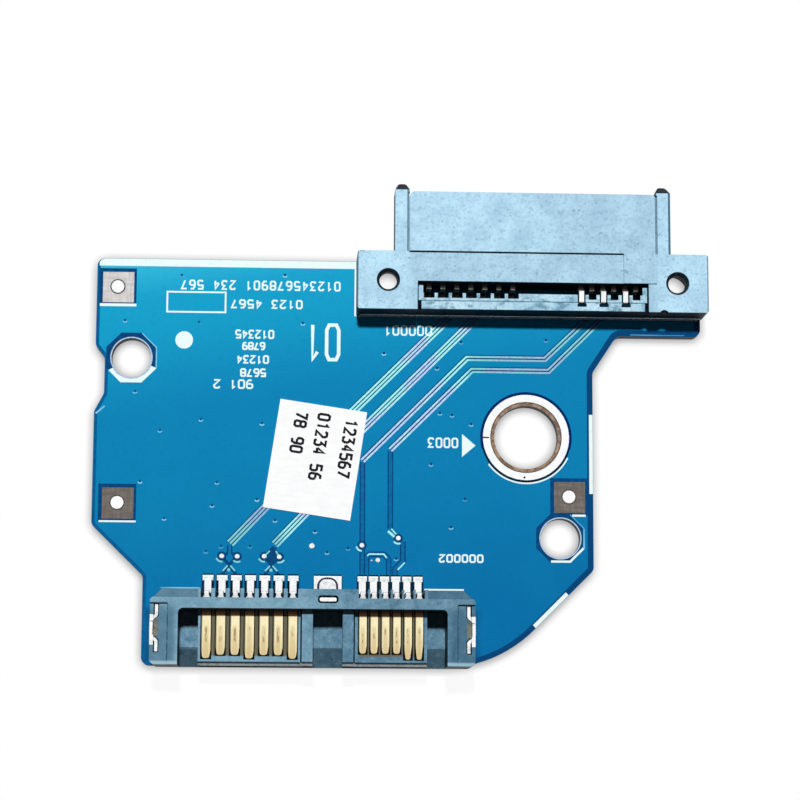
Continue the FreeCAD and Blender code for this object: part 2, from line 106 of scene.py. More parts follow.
# Tops of the thin layers on the board, and the step that keeps crossing strips apart
LAYERS = (0.004, 0.008, 0.012, 0.02, 0.026)
BORDER_TOP, DARK_TOP, LAMINATE_TOP, PALE_TOP, SILK_TOP = [BOARD_TOP + layer for layer in LAYERS]
LIFT = 0.0006
BORDER_WIDTHS = (0.3, 0.58)
EDGE_CLEARANCE = 0.01
MITRE_LIMIT = 0.6

# Traces: width of the bare strip and its shift to the far side, place and width of the painted glint lines
PAIR_STRIP = 0.84
PAIR_LINES = (-0.28, 0.0, 0.28)
POWER_STRIP = 0.6
POWER_LINES = (-0.15, 0.15)
LINE_WIDTH = 0.18
STRIP_SHIFT = 0.04
TRACE_WIDTH = 0.48
TRACE_EDGES = (-0.2, 0.2)
TRACE_EDGE_WIDTH = 0.11
TRACE_START = 11.03

# Signal pairs: from the receptacle or the plug to the label
PAIR_RUNS = [
    [(-6.95, TRACE_START), (-16.6, 1.36)],
    [(-26.68, -9.92), (-22.6, -5.6)],
    [(-4.45, TRACE_START), (-15.7, -0.26)],
    [(-22.67, -9.98), (-18.9, -6.0)],
]

# Power traces: runs with painted glints, dark runs that go straight down to the plug, short painted glints
POWER_RUNS = [
    [(5.72, TRACE_START), (1.76, 7.22), (-5.38, 7.22), (-14.85, -2.32)],
    [(7.02, TRACE_START), (2.08, 6.11), (-4.92, 6.12), (-12.32, -1.28)],
]
DARK_RUNS = [
    [(-14.85, -2.4), (-14.8, -12.7)],
    [(-12.32, -1.36), (-12.3, -8.45)],
    [(-11.16, -9.6), (-11.15, -11.36), (-11.84, -12.05), (-11.86, -12.7)],
    [(-14.42, -12.7), (-14.42, -11.05), (-14.15, -10.78), (-12.86, -10.78), (-12.44, -11.2), (-12.4, -12.7)],
]
BRIGHT_BITS = [
    ([(-14.36, -10.93), (-14.2, -10.76), (-12.86, -10.76), (-12.6, -11.1)], 0.14),
    ([(-12.5, -8.68), (-11.92, -9.17)], 0.22),
    ([(-12.2, -8.45), (-11.76, -8.96)], 0.12),
    ([(-10.98, -11.5), (-11.62, -12.17)], 0.13),
]

# Vias that end in a bare dot, with the turn of their painted glint; then plain dots and their radius
BRIGHT_VIAS = [
    ((-27.42, -11.06), 240), ((-26.03, -11.08), 265), ((-23.61, -11.05), 240), ((-22.26, -11.1), 290),
    ((-14.84, -9.98), 230), ((-11.57, -9.3), 255),
]
BARE_DOTS = [((-13.41, -11.31), 0.24), ((-19.34, -10.08), 0.28), ((-13.96, -11.34), 0.09)]
BRIGHT_VIA_RADIUS = 0.25
BRIGHT_VIA_RIM = 0.42
BRIGHT_VIA_GLINT = 0.16
GLINT_HALF_TURN = 38
DOT_SHOULDER = (0.8, 0.05)
DOT_HEIGHT = 0.07

# Fan from a signal pair to its pads: pair end, two vias, join, two pads, whether its top has painted glints
FANS = [
    ((-26.72, -10.1), [(-27.42, -11.06), (-26.03, -11.08)], (-26.76, -11.85),
     [(-27.35, -12.72), (-26.1, -12.72)], False),
    ((-22.78, -10.2), [(-23.61, -11.05), (-22.26, -11.1)], (-22.97, -11.85),
     [(-23.53, -12.7), (-22.29, -12.7)], True),
]
FAN_WIDTH = 0.26
FAN_LINE = 0.14
FAN_SPREAD = 0.18
FAN_DROP = 0.7
FAN_BRIGHT_START = 0.4
FAN_LEG = ((0.12, -0.06), (0.54, -0.53))
FAN_DOT = (-0.02, -0.44)

# Vias under the lacquer, the radius of the dimple's painted shade, and the painted glint's reach past it and
# turn
COVERED_VIAS = [
    (-36.55, 10.38), (-29.84, 10.28), (-31.47, 14.63), (-22.07, 14.76), (-35.5, 3.85), (-29.5, 1.35),
    (-33.18, 0.31), (-23.98, 1.05), (-34.88, -4.35), (-27.96, -4.37), (-28.37, -6.46), (-24.34, -5.88),
    (-32.65, -7.68), (-28.84, -10.62), (-27.5, -10.15), (-24.9, -10.13), (-22.69, -7.76), (-19.08, -8.72),
    (-17.98, -10.61), (-16.1, -10.23), (-20.38, 10.32), (-12.97, 7.63), (-8.12, 6.31), (-5.93, 8.75),
    (-7.84, 2.16), (-6.74, 1.99), (-5.01, 1.18), (-8.64, -2.52), (-5.55, -5.68), (-6.82, -8.24),
    (1.86, 9.03), (-11.75, -11.13),
]
VIA_DIMPLE = 0.13
VIA_GLINT = (0.01, 0.13)
VIA_GLINT_TURN = (206, 334)

# Windows in the copper round the plain holes; rim, window and painted highlight start past the hole
LEFT_HOLE = ((-35.89, 6.92), 2.29)
RIGHT_HOLE = ((3.1, -9.18), 2.2)
HOLE_RADIUS = 1.8
HOLE_RIM_REACH = 0.11
WINDOW_START = 0.12
BRIGHT_START = 0.14
BRIGHT_PART = slice(28, 46)

# Painted highlights on sides of those windows, then painted glints: hole, first and last corner, inset,
# width
WINDOW_EDGES = [(RIGHT_HOLE, 5, 7, 0.1, 0.2)]
WINDOW_GLINTS = [
    (RIGHT_HOLE, 7, 8, 0.06, 0.16), (RIGHT_HOLE, 0, 1, 0.04, 0.1), (LEFT_HOLE, -1, 1, 0.04, 0.09),
]
EDGE_GLINTS = [
    ([(-32.85, -13.94), (-29.35, -13.94)], 0.1),
    ([(-39.0, 1.75), (-38.2, 2.45)], 0.16),
    ([(9.6, 9.6), (14.6, 9.6)], 0.07),
]

# Windows round the fiducial discs, and a painted highlight bar below each: start, end, width
FIDUCIALS = [(-37.26, 13.47), (-36.89, -6.32), (3.89, -5.4)]
FIDUCIAL_RADIUS = 0.575
FIDUCIAL_RIM = 0.1
FIDUCIAL_WINDOW = 2.82
WINDOW_SHIFT = (0.06, -0.05)
FIDUCIAL_FRAME = 3.4
FIDUCIAL_BARS = [(-1.61, 1.71, 0.26), (-1.61, 1.71, 0.17), (0.3, 1.51, 0.2)]

# Screw hole and ring: ring marks, then start, end and turn of the arcs outside it: painted shade, gap,
# painted glint
SCREW_HOLE_RADIUS = 2.9
RIM_LINE = 0.09
RING_MARK = [(-RING_RADIUS, -0.05), (-RING_INNER - 0.1, -0.05)]
RING_MARK_WIDTH = 0.13
RING_DOT = ((-0.15, -3.67), 0.1)
RING_INK = 0.006
NEAR_GAP = (0.02, 0.2, 195, 345)
FAR_GAP = (0.02, 0.25, -15, 195)
RING_EDGE_GLINT = (0.22, 0.36, 216, 334)

# Print on the board: plain bars, the first a painted glint along the far edge; an arrow and counting numbers
SILK_BARS = [
    # Painted glint along the board's far edge
    [(-38.96, 15.4), (-15.55, 15.4), (-15.55, 16.07), (-38.45, 16.07), (-38.74, 15.98), (-38.96, 15.74)],
    [(5.75, -5.11), (6.08, -5.11), (6.08, 2.14), (5.75, 2.14)],
]
SILK_LINES = [
    ([(3.68, -14.18), (0.7, -17.16)], 0.36),
    ([(-15.62, 15.38), (-15.62, 11.0)], 0.16),
    ([(-15.54, 11.02), (15.85, 11.02)], 0.08),
    ([(-9.2, -13.94), (-5.65, -13.94)], 0.18),
]
ARROW = [(-5.83, 0.25), (-5.83, -1.86), (-4.6, -0.8)]
MARK_DISC = ((-31.15, 8.6), 0.8)
MARK_BOX = [(-32.75, 13.05), (-27.45, 13.05), (-27.45, 11.2), (-32.75, 11.2)]

# Numbers that read upside down: foot of the first digit, height, pitch, width, text
SILK_NUMBERS = [
    ((-17.05, 14.12), 0.76, 0.735, 0.44, "012345678901 234 567"),
    ((-20.5, 12.36), 0.7, 0.74, 0.46, "0123 4567"),
    ((-23.05, 9.55), 0.68, 0.6, 0.4, "012345"), ((-23.85, 8.42), 0.6, 0.53, 0.36, "6789"),
    ((-23.5, 7.2), 0.64, 0.6, 0.4, "01234"), ((-23.75, 5.98), 0.64, 0.6, 0.4, "5678"),
    ((-24.9, 4.95), 0.72, 0.74, 0.5, "901 2"), ((-17.1, 10.15), 3.2, 1.72, 1.1, "01"),
    ((-8.65, 10.15), 0.82, 0.75, 0.48, "000001"), ((-3.95, -10.78), 0.62, 0.69, 0.44, "000002"),
    ((-6.25, -0.18), 0.8, 0.72, 0.46, "0003"),
]
SILK_STROKE = 0.16
BIG_STROKE = 0.1

# Numbers on the label, in its own frame: start of the line, text; then height, pitch and width
LABEL_NUMBERS = [((2.2, 4.05), "1234567"), ((-0.3, 4.2), "01234 56"), ((-2.35, 4.05), "78 90")]
LABEL_NUMBER = (1.0, 0.78, 0.5)
LABEL_STROKE = 0.23
LABEL_INK = 0.008

# Solder at the plug: start behind its wall, reach past the tails, feet of tails and tab
SOLDER_START = 0.06
SOLDER_REACH = 0.28
SOLDER_DROP = 0.02
TAIL_FOOT_HALF = 0.31
TAIL_FOOT_TOP = 0.2
TAB_FOOT_ROUND = 0.6
TAB_FOOT_TOP = 0.32
TAB_FLANK = 0.2
PAD_MARGIN = 0.08
TAB_PAD_MARGIN = 0.5
SIDE_GAP = (0.04, 0.06)
END_GAP = (0.07, 0.12)
NOTCH_DEPTH = 0.8
NOTCH_MARGIN = 0.04

# Thin trim of the connectors
TONGUE_LIPS = ((-10.11, -0.97, 2.55), (-0.97, 0.0, 3.05), (2.62, 3.59, 3.05), (3.59, 10.11, 2.55))
LIP_DEPTHS = (0.02, 0.36)
LIP_THICKNESS = 0.2
REAR_RIB = ((0.0, 0.42), (0.0, 0.62), (0.06, 0.42))
RIB_INSET = 0.3
CLIP_FACE = ((1.72, 2.6), (3.85, 4.38))
CLIP_FACE_WIDTH = 0.33
CLIP_FACE_HEIGHT = 0.02
CLIP_POCKET = (2.5, 3.9)
CLIP_POCKET_WIDTH = 0.42
SLOT_SHADE = (0.42, 0.28)
SLOT_SHADE_GAP = 0.12
SHADE_HEIGHT = 0.01


def srgb(red, green, blue):
    """Linear colour of a display colour given as 0 to 255."""
    def channel(value):
        value = value / 255
        return value / 12.92 if value <= 0.04045 else ((value + 0.055) / 1.055) ** 2.4
    return (channel(red), channel(green), channel(blue), 1.0)


# Node materials

class Value:
    """A value in a node tree; arithmetic with it adds math nodes."""

    def __init__(self, owner, socket):
        self.owner = owner
        self.socket = socket

    def combine(self, operation, *others):
        return self.owner.add("ShaderNodeMath", dict(enumerate((self, *others))), operation=operation)

    __add__ = partialmethod(combine, "ADD")
    __sub__ = partialmethod(combine, "SUBTRACT")
    __mul__ = partialmethod(combine, "MULTIPLY")
    __gt__ = partialmethod(combine, "GREATER_THAN")
    __lt__ = partialmethod(combine, "LESS_THAN")
    __abs__ = partialmethod(combine, "ABSOLUTE")
    most = partialmethod(combine, "MAXIMUM")
    near = partialmethod(combine, "COMPARE")

    def part(self, name):
        """One component of a vector."""
        return self.owner.add("ShaderNodeSeparateXYZ", {0: self}, name)

    def span(self, low, high, to_high=1.0, to_low=0.0):
        """Smooth step between two limits, which may fall as well as rise."""
        limits = {"Value": self, "From Min": low, "From Max": high, "To Min": to_low, "To Max": to_high}
        return self.owner.add("ShaderNodeMapRange", limits, interpolation_type="SMOOTHSTEP")

    def mix(self, first, second, blend="MIX"):
        """From the first colour to the second; three plain numbers are a display colour."""
        first, second = [item if isinstance(item, Value) else srgb(*item) for item in (first, second)]
        return self.owner.add("ShaderNodeMix", {"Factor": self, "A": first, "B": second}, "Result",
                              data_type="RGBA", blend_type=blend)


class Nodes:
    """A node tree that values can be made in."""

    def __init__(self, tree):
        self.tree = tree

    def feed(self, socket, value):
        if isinstance(value, Value):
            self.tree.links.new(value.socket, socket)
        else:
            socket.default_value = value

    def add(self, kind, inputs, output=0, **settings):
        """Output of a new node with the given settings and inputs."""
        made = self.tree.nodes.new(kind)
        for name, setting in settings.items():
            setattr(made, name, setting)
        for name, value in inputs.items():
            self.feed(made.inputs[name], value)
        return Value(self, made.outputs[output])


class Surface(Nodes):
    """A node material built round one Principled shader."""

    def __init__(self, name, roughness=0.5, specular=0.5, metallic=0.0):
        self.material = bpy.data.materials.new(name)
        self.material.use_nodes = True
        super().__init__(self.material.node_tree)
        self.inputs = self.tree.nodes["Principled BSDF"].inputs
        self.inputs["Roughness"].default_value = roughness
        self.inputs["Specular IOR Level"].default_value = specular
        self.inputs["Metallic"].default_value = metallic

    def coordinate(self, kind):
        return self.add("ShaderNodeTexCoord", {}, kind)

    def axes(self, names):
        """Place along the named axes, in millimetres."""
        return [self.coordinate("Object").part(name) * (1 / MM) for name in names]

    def rounded(self, radius):
        """Normal with edges rounded by a radius in millimetres."""
        return self.add("ShaderNodeBevel", {"Radius": radius * MM}, samples=6)

    def noise(self, size, detail=3.0, stretch=(1, 1, 1), roughness=0.55):
        """Noise with spots of about the given size in millimetres."""
        scale = [1 / (size * MM * part) for part in stretch]
        place = self.coordinate("Object")
        place = self.add("ShaderNodeVectorMath", {0: place, 1: scale}, operation="MULTIPLY")
        look = {"Vector": place, "Scale": 1.0, "Detail": detail, "Roughness": roughness}
        return self.add("ShaderNodeTexNoise", look, "Fac")

    def bump(self, height, distance, strength, edge=None):
        """Fine relief; distance in millimetres, edge is a normal to start from."""
        relief = {"Height": height, "Distance": distance * MM, "Strength": strength}
        if edge is not None:
            relief["Normal"] = edge
        self.feed(self.inputs["Normal"], self.add("ShaderNodeBump", relief))

    def made(self, colour, *relief):
        """The material with its colour and, where given, a relief."""
        self.feed(self.inputs["Base Color"], colour)
        if relief:
            self.bump(*relief)
        return self.material


def layered(tone, *layers):
    """A tone with others laid over it, each by its own factor."""
    for factor, colour in layers:
        tone = factor.mix(tone, colour)
    return tone


def plain_material(name, finish, grain, first, second, relief=None, limits=(0.35, 0.7)):
    """Two tones mixed by one noise, also as a relief; finish is roughness and specular level."""
    surface = Surface(name, *finish)
    pattern = surface.noise(*grain)
    relief = (pattern, *relief) if relief else ()
    return surface.made(pattern.span(*limits).mix(first, second), *relief)


def metal_material(name, bright, dull, metallic=0.8):
    """Tinned metal with a flowed, slightly uneven skin."""
    surface = Surface(name, metallic=metallic)
    flow = surface.noise(0.45)
    surface.feed(surface.inputs["Roughness"], flow.span(0.3, 0.8, 0.45, 0.22))
    return surface.made(flow.span(0.42, 0.72).mix(bright, dull), flow, 0.02, 0.45, surface.rounded(0.05))


def lacquer_tone(surface, grain):
    """Blue with painted light, bright far left, darker to the near right; painted shade beside the plug."""
    x, y, z = surface.axes("XYZ")
    along = y - (x + 17.0) * 0.15
    far = (25, 160, 203)
    # Painted shade on the board along the plug's sides
    beside = x.span(plug_low.x - 1.1, plug_low.x - 0.4) * x.span(plug_high.x + 1.1, plug_high.x)
    beside = beside * y.span(WALL_FRONT + 0.6, WALL_FRONT)
    beside = beside * z.span(BOARD_TOP - 0.5, BOARD_TOP - 0.2, 0.9)
    return layered(
        (11, 110, 166), (along.span(-22, 3), (16, 130, 181)), (along.span(3, 15), far),
        (along.span(14.5, 19.0), (52, 184, 220)), (surface.noise(7.0, 2.0).span(0.4, 0.75, 0.08), far),
        (beside, (15, 83, 128)), (grain.span(0.45, 0.8, 0.1), (4, 70, 116)))


def board_material():
    """Lacquer on the flat sides, glass and epoxy on the cut edges."""
    surface = Surface("board", roughness=0.42, specular=0.05)
    grain = surface.noise(0.35, 4.0)
    edge = surface.noise(0.16, 2.0, (40, 40, 1)).mix((56, 66, 72), (100, 104, 98))
    flat = abs(surface.coordinate("Normal").part("Z"))
    return surface.made(flat.span(0.4, 0.7).mix(edge, lacquer_tone(surface, grain)), grain, 0.006, 0.35)


def border_material():
    """Lacquer on the laminate along the board's edge, darker towards the right."""
    surface = Surface("lacquer_on_border", roughness=0.4, specular=0.05)
    grain = surface.noise(0.4, 4.0)
    x, = surface.axes("X")
    tone = x.span(-35, -12).mix((13, 96, 149), (10, 70, 121))
    return surface.made(grain.span(0.4, 0.75, 0.4).mix(tone, (6, 54, 98)), grain, 0.004, 0.3)


def copper_edge_material():
    """Painted glint on the lacquer over copper edges; dimmer in two spots, painted shadow near the
    receptacle.
    """
    surface = Surface("painted_glint_on_copper_edge", roughness=0.3, specular=0.2)
    x, y = surface.axes("XY")
    # Dimmer painted glint in two spots; past the receptacle's shadow line the glint gives way to painted
    # shadow
    level = y.span(5.2, 5.7) * x.span(-5.6, -4.8)
    lower = y.span(-5.0, -5.6) * x.span(-21.5, -22.5)
    return surface.made(layered(
        (150, 238, 238), (surface.noise(5.0, 1.0).span(0.48, 0.58), (182, 196, 244)),
        (surface.noise(0.25).span(0.35, 0.75), (188, 248, 248)), (level.most(lower) * 0.4, (34, 132, 160)),
        (y.span(RECEPTACLE_SHADE - 0.1, RECEPTACLE_SHADE + 0.25), (16, 96, 146))))


def laminate_material():
    """Bare laminate in the windows of the lacquer, paler near the board's far edge."""
    surface = Surface("bare_laminate", roughness=0.5, specular=0.1)
    weave = surface.noise(0.3, 2.0, (6, 1, 1)) * surface.noise(0.3, 2.0, (1, 6, 1))
    weave = weave.span(0.15, 0.4)
    y, = surface.axes("Y")
    washed = weave.mix((198, 194, 193), (220, 217, 216))
    tone = layered((106, 98, 93), (weave, (124, 117, 112)), (y.span(6, 11), washed))
    return surface.made(tone, weave, 0.008, 0.4)


def gold_material():
    """Gold with a rubbed streak on the mating length, brown painted shadow near the wall, tin on the tail.
    """
    surface = Surface("gold_contact", roughness=0.34, metallic=0.7)
    along, = surface.axes("Y")
    across = surface.coordinate("Generated").part("X")
    middle = abs(across - 0.5)
    flow = surface.noise(0.3, stretch=(1, 5, 1))
    rubbed = along.span(-17.2, -17.8, 0.4) * middle.span(0.36, 0.16)
    worn = along.span(-19.1, -18.7) * along.span(-17.4, -17.9) * middle.span(0.16, 0.05)
    worn = worn * surface.noise(0.25, 2.0, (1, 3, 1)).span(0.42, 0.6, 0.8)
    # Brown painted shadow of the wall on the contacts' rear ends
    brown = along.span(WALL_FRONT - 0.45, WALL_FRONT - 0.1).mix((78, 46, 14), (22, 12, 6))
    tin = flow.span(0.45, 0.85).mix((255, 255, 255), (232, 240, 242))
    tail = plug_high.y - PLUG_WALL / 2
    # Each contact's left flank is darkened as painted shade
    return surface.made(layered(
        (232, 212, 162), (along.span(-20.2, -17.4), (255, 243, 198)),
        (flow.span(0.5, 0.85, 0.45), (206, 176, 116)), (across.span(0.13, 0.06, 0.85), (100, 95, 74)),
        (rubbed, (196, 172, 118)), (worn, (140, 114, 66)),
        (along.span(WALL_FRONT - 0.64, WALL_FRONT - 0.5), brown), (along.span(tail - 0.1, tail + 0.1), tin)),
        flow, 0.01, 0.35, surface.rounded(0.05))


def spring_material():
    """Receptacle contacts in painted light: white high bends, a grey spot on low ones, painted shadow
    elsewhere.
    """
    surface = Surface("spring_contact", roughness=0.4, metallic=0.7)
    flow = surface.noise(0.3, stretch=(1, 4, 4))
    along, height = surface.axes("YZ")
    bright = flow.span(0.4, 0.75).mix((250, 254, 252), (218, 232, 232))
    spot = flow.span(0.35, 0.65).mix((176, 174, 164), (128, 126, 118))
    # Beam tops in painted shadow, black deeper into the window
    beam = along.span(13.45, 13.3).mix((6, 6, 8), (46, 44, 42))
    return surface.made(layered(
        (6, 6, 8), (height.span(3.4, 3.6), beam), (height.span(2.3, 2.7) * along.span(13.24, 13.14), spot),
        (height.span(4.0, 4.15) * along.span(13.08, 12.98), bright)), flow, 0.01, 0.4, surface.rounded(0.04))


def start_plastic(name, top, mottle, side, speck, slope_shade):
    """Moulded plastic: its surface, the painted sheen, the dark colour and a mask of upward faces."""
    surface = Surface(name, specular=0.07)
    grain = surface.noise(0.26, 4.0)
    edge = surface.rounded(0.07)
    painted_sheen = layered(top, (surface.noise(2.4, 5.0, roughness=0.65).span(0.32, 0.68), mottle),
                    (grain.span(0.46, 0.76, 0.5), speck),
                    (surface.noise(0.5, 2.0).span(0.64, 0.76, 0.7), speck))
    dark = grain.span(0.4, 0.8, 0.08).mix(side, speck)
    # The painted sheen goes on faces that point up, less on those that slope towards the front
    sheen_faces = edge.part("Z").span(0.5, 0.93) * edge.part("Y").span(-0.22, -0.08, 1.0, slope_shade)
    surface.feed(surface.inputs["Roughness"], grain.span(0.2, 0.8, 0.6, 0.42))
    surface.bump(grain, 0.02, 0.5)
    return surface, painted_sheen, dark, sheen_faces


def receptacle_material():
    """Painted sheen up top, duller mid and right; dark low down; painted shade in lines and at rims."""
    surface, painted_sheen, dark, sheen_faces = start_plastic(
        "receptacle_plastic", (193, 232, 251), (173, 211, 234), (3, 9, 20), (126, 164, 188), 0.6)
    smear = surface.noise(0.6, 6.0, (1.5, 1, 1), 0.75)
    painted_sheen = smear.span(0.5, 0.7, 0.42).mix(painted_sheen, (136, 174, 198))
    x, y, z = surface.axes("XYZ")
    off = abs(x - RECEPTACLE_MIDDLE)
    half = (receptacle_high.x - receptacle_low.x) / 2 - FLANGE_END
    front = receptacle_low.y + FLANGE_DEPTH
    # Painted sheen duller to the right and near the flange's front, over the body
    shade = x.span(RECEPTACLE_MIDDLE - 8, RECEPTACLE_MIDDLE + 7, 0.55)
    shade = shade.most(y.span(front + 0.2, front - 0.2, 0.55)) * off.span(half + 0.4, half - 0.6)
    painted_sheen = shade.mix(painted_sheen, (228, 229, 232), "MULTIPLY")
    # Painted shade in the guide grooves and along the rims of the guides and flange ends
    line = abs(abs(x - (RECEPTACLE_MIDDLE + GUIDE_LINE_SHIFT)) - (half + GUIDE_LINE))
    rim = RECEPTACLE_MIDDLE + half + GUIDE_WIDTH - GUIDE_RIM
    line = line.span(0.05, 0.13, 0.0, 0.75).most(x.span(rim - 0.04, rim + 0.04, 0.9)) * (y > front)
    rim = half + FLANGE_END - FLANGE_RIM
    line = line.most(off.span(rim - 0.04, rim + 0.04, 0.75))
    # Painted sheen only on high faces behind the noses; the rest keeps the dark colour
    high = z.span(receptacle_high.z - 0.8, receptacle_high.z - 0.7) * (y < receptacle_high.y - NOSE_LENGTH)
    return surface.made((sheen_faces * high).mix(dark, line.mix(painted_sheen, (40, 88, 112))))


def comb_material():
    """Painted sheen on high upward faces, with dark blotches; dark below its teeth."""
    surface, painted_sheen, dark, sheen_faces = start_plastic(
        "comb_plastic", (196, 230, 246), (154, 198, 220), (3, 9, 18), (100, 144, 168), 0.6)
    blotch = surface.noise(0.55, stretch=(1.6, 1, 1))
    painted_sheen = blotch.span(0.5, 0.66, 0.6).mix(painted_sheen, (74, 118, 142))
    z, = surface.axes("Z")
    return surface.made((sheen_faces * z.span(comb_high.z - 0.38, comb_high.z - 0.33)).mix(dark, painted_sheen))


def plug_material():
    """Painted sheen, duller on arms and ledges; brown between the contacts; dark in the grooves."""
    surface, painted_sheen, dark, sheen_faces = start_plastic(
        "plug_plastic", (128, 168, 190), (96, 138, 162), (8, 13, 16), (62, 96, 118), 0.4)
    x, y, z = surface.axes("XYZ")
    off = abs(x - PLUG_MIDDLE)
    smear = surface.noise(0.8, 6.0, roughness=0.75)
    # Painted sheen: brighter left of the middle, darker to the right, duller on the arms and at the ledge
    lifted = x.span(PLUG_MIDDLE + 1.5, PLUG_MIDDLE - 1, 0.3) * z.span(BOARD_TOP + 1.5, BOARD_TOP + 2)
    arm = PLUG_HALF - PLUG_ARM
    on_arm = off.span(arm - 0.1, arm + 0.6, 0.62) * y.span(WALL_FRONT + 0.7, WALL_FRONT - 0.5)
    painted_sheen = layered(
        painted_sheen, (smear.span(0.5, 0.68, 0.6), (64, 98, 120)),
        (smear.span(0.48, 0.32, 0.5), (160, 198, 216)), (lifted, (154, 196, 216)),
        (x.span(plug_low.x + 3, plug_high.x - 3, 0.3), (64, 98, 122)), (on_arm, (56, 96, 120)),
        (z.near(LEDGE_TOP, 0.1) * 0.6, (58, 98, 122)))
    # Brown band on the tongue tops between the contacts
    tongue_band = z.near(TONGUE_TOP, 0.06) * y.span(-20.25, -20.0)
    for row in (("signal", 1, 7), ("power", 1, 6)):
        first, last = [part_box(f"plug_{row[0]}_contact_{i}") for i in row[1:]]
        inside = (x > first[0].x / MM) * (x < last[1].x / MM)
        painted_sheen = (tongue_band * inside).mix(painted_sheen, (106, 102, 84))
    # Painted shade along the arms' steps, a painted highlight on their front edges, darker painted sheen in
    # the left bay
    high = z.span(ARM_STEP_TOP - 0.15, ARM_STEP_TOP - 0.05)
    step_shade = off.near(PLUG_HALF - ARM_STEP_WIDTH, 0.06) * high * (y < plug_low.y + ARM_STEP_LENGTH)
    brow = y.span(plug_low.y + 0.42, plug_low.y + 0.22, 0.8) * high
    bay = x.span(PLUG_MIDDLE - 9, PLUG_MIDDLE - 10) * z.span(BOARD_TOP + 0.58, BOARD_TOP + 0.54, 0.5)
    painted_sheen = layered(painted_sheen, (step_shade * smear.span(0.4, 0.55, 0.8, 0.1), (40, 70, 90)),
                    (brow, (164, 200, 216)), (bay, (20, 44, 70)))
    # No painted sheen in the grooves below the tongue tops
    groove = z.near(TONGUE_TOP - 0.35, 0.28)
    return surface.made((sheen_faces * abs(groove - 1.0)).mix(dark, painted_sheen))


def seen_rays(owner):
    """1 for what the camera sees, also in reflections and through clear matter; for floor and world only."""
    camera, glossy, clear = [owner.add("ShaderNodeLightPath", {}, name)
                             for name in ("Is Camera Ray", "Is Glossy Ray", "Is Transmission Ray")]
    return camera.most(glossy).most(clear)


def floor_material():
    """Floor that shows white to the camera, keeps shadows and darkens close to the part."""
    surface = Surface("floor", roughness=0.9, specular=0.0)
    contact = surface.add("ShaderNodeAmbientOcclusion", {"Distance": CONTACT_REACH * MM}, "AO", samples=16)
    surface.feed(surface.inputs["Emission Color"], WHITE)
    surface.feed(surface.inputs["Emission Strength"], seen_rays(surface) * (contact * FLOOR_GLOW))
    return surface.made((FLOOR_SHADE, FLOOR_SHADE, FLOOR_SHADE, 1))


# Plain materials: name, finish, noise size and detail, two tones, relief, limits of the noise

DARK = plain_material(
    "lacquer_on_laminate", (0.4, 0.05), (0.4, 4.0), (10, 62, 110), (14, 78, 132), (0.004, 0.3))
# Near-black: lacquer in gaps, and painted shade for dark plates where shade falls
GAP_AND_SHADE_DARK = plain_material("lacquer_in_gaps_and_painted_shade", (0.5, 0.05), (0.3, 4.0), (6, 22, 36), (12, 34, 50))
RING_GAP = plain_material("lacquer_round_ring", (0.5, 0.05), (0.3, 4.0), (3, 28, 82), (8, 46, 104))
TRACE = plain_material(
    "lacquer_on_trace", (0.4, 0.05), (0.4, 4.0), (14, 100, 154), (18, 112, 166), (0.004, 0.3))
GLINT = plain_material(
    "lacquer_glint", (0.35, 0.2), (5.0, 1.0), (56, 154, 200), (146, 210, 236), limits=(0.35, 0.65))
# White ink for print, also the colour of painted highlights on edges that face the lamp
PRINT_AND_HIGHLIGHT = plain_material(
    "ink_and_painted_highlight", (0.55, 0.25), (0.22, 4.0), (236, 252, 251), (196, 236, 242), (0.006, 0.5), (0.5, 0.85))
RIM_LAMINATE = plain_material(
    "rim_laminate", (0.6, 0.2), (0.5, 4.0), (170, 142, 118), (118, 95, 78), (0.008, 0.4), (0.35, 0.65))
HOLE_RIM = plain_material("hole_rim", (0.5, 0.2), (0.3, 3.0), (172, 194, 218), (206, 220, 234))
# Dark brown: the copper edge inside the screw hole's ring, and painted shade round the fiducial discs
RIM_COPPER_AND_SHADE = plain_material("rim_copper_and_painted_shade", (0.6, 0.1), (0.3, 3.0), (74, 60, 48), (104, 92, 82))
PAPER = plain_material(
    "label_paper", (0.75, 0.15), (0.4, 5.0, (3, 1, 1)), (255, 255, 255), (246, 248, 249), (0.015, 0.3),
    (0.3, 0.8))
INK = plain_material("label_ink", (0.6, 0.1), (0.18, 4.0), (22, 22, 28), (80, 80, 90), limits=(0.5, 0.85))

TIN = metal_material("tin", (255, 255, 255), (240, 246, 247))
SOLDER = metal_material("solder", (248, 255, 255), (212, 226, 228))
# Dark solder: a painted reflection of dark surroundings on the flanks, and painted shade round the tab's
# foot
SOLDER_DARK_REFLECTION = metal_material("solder_painted_dark_reflection", (16, 40, 66), (40, 70, 96))
# Solder under the receptacle, darkened as painted shade
SOLDER_IN_SHADE = metal_material("solder_in_painted_shade", (30, 33, 36), (16, 18, 21), metallic=0.3)
LIP_PLASTIC = metal_material("lip_plastic", (132, 140, 144), (108, 116, 120), metallic=0.0)
RIB_PLASTIC = metal_material("rib_plastic", (178, 181, 189), (129, 133, 142), metallic=0.9)
CLIP_SHADE = metal_material("clip_shade", (120, 124, 114), (80, 84, 76), metallic=0.4)
STEEL = metal_material("hold_down_steel", (255, 255, 255), (226, 234, 236))

BOARD = board_material()
BORDER = border_material()
PAINTED_GLINT = copper_edge_material()
LAMINATE = laminate_material()
SPRING = spring_material()
GOLD = gold_material()
PLUG_PLASTIC = plug_material()
RECEPTACLE_PLASTIC = receptacle_material()
COMB_PLASTIC = comb_material()


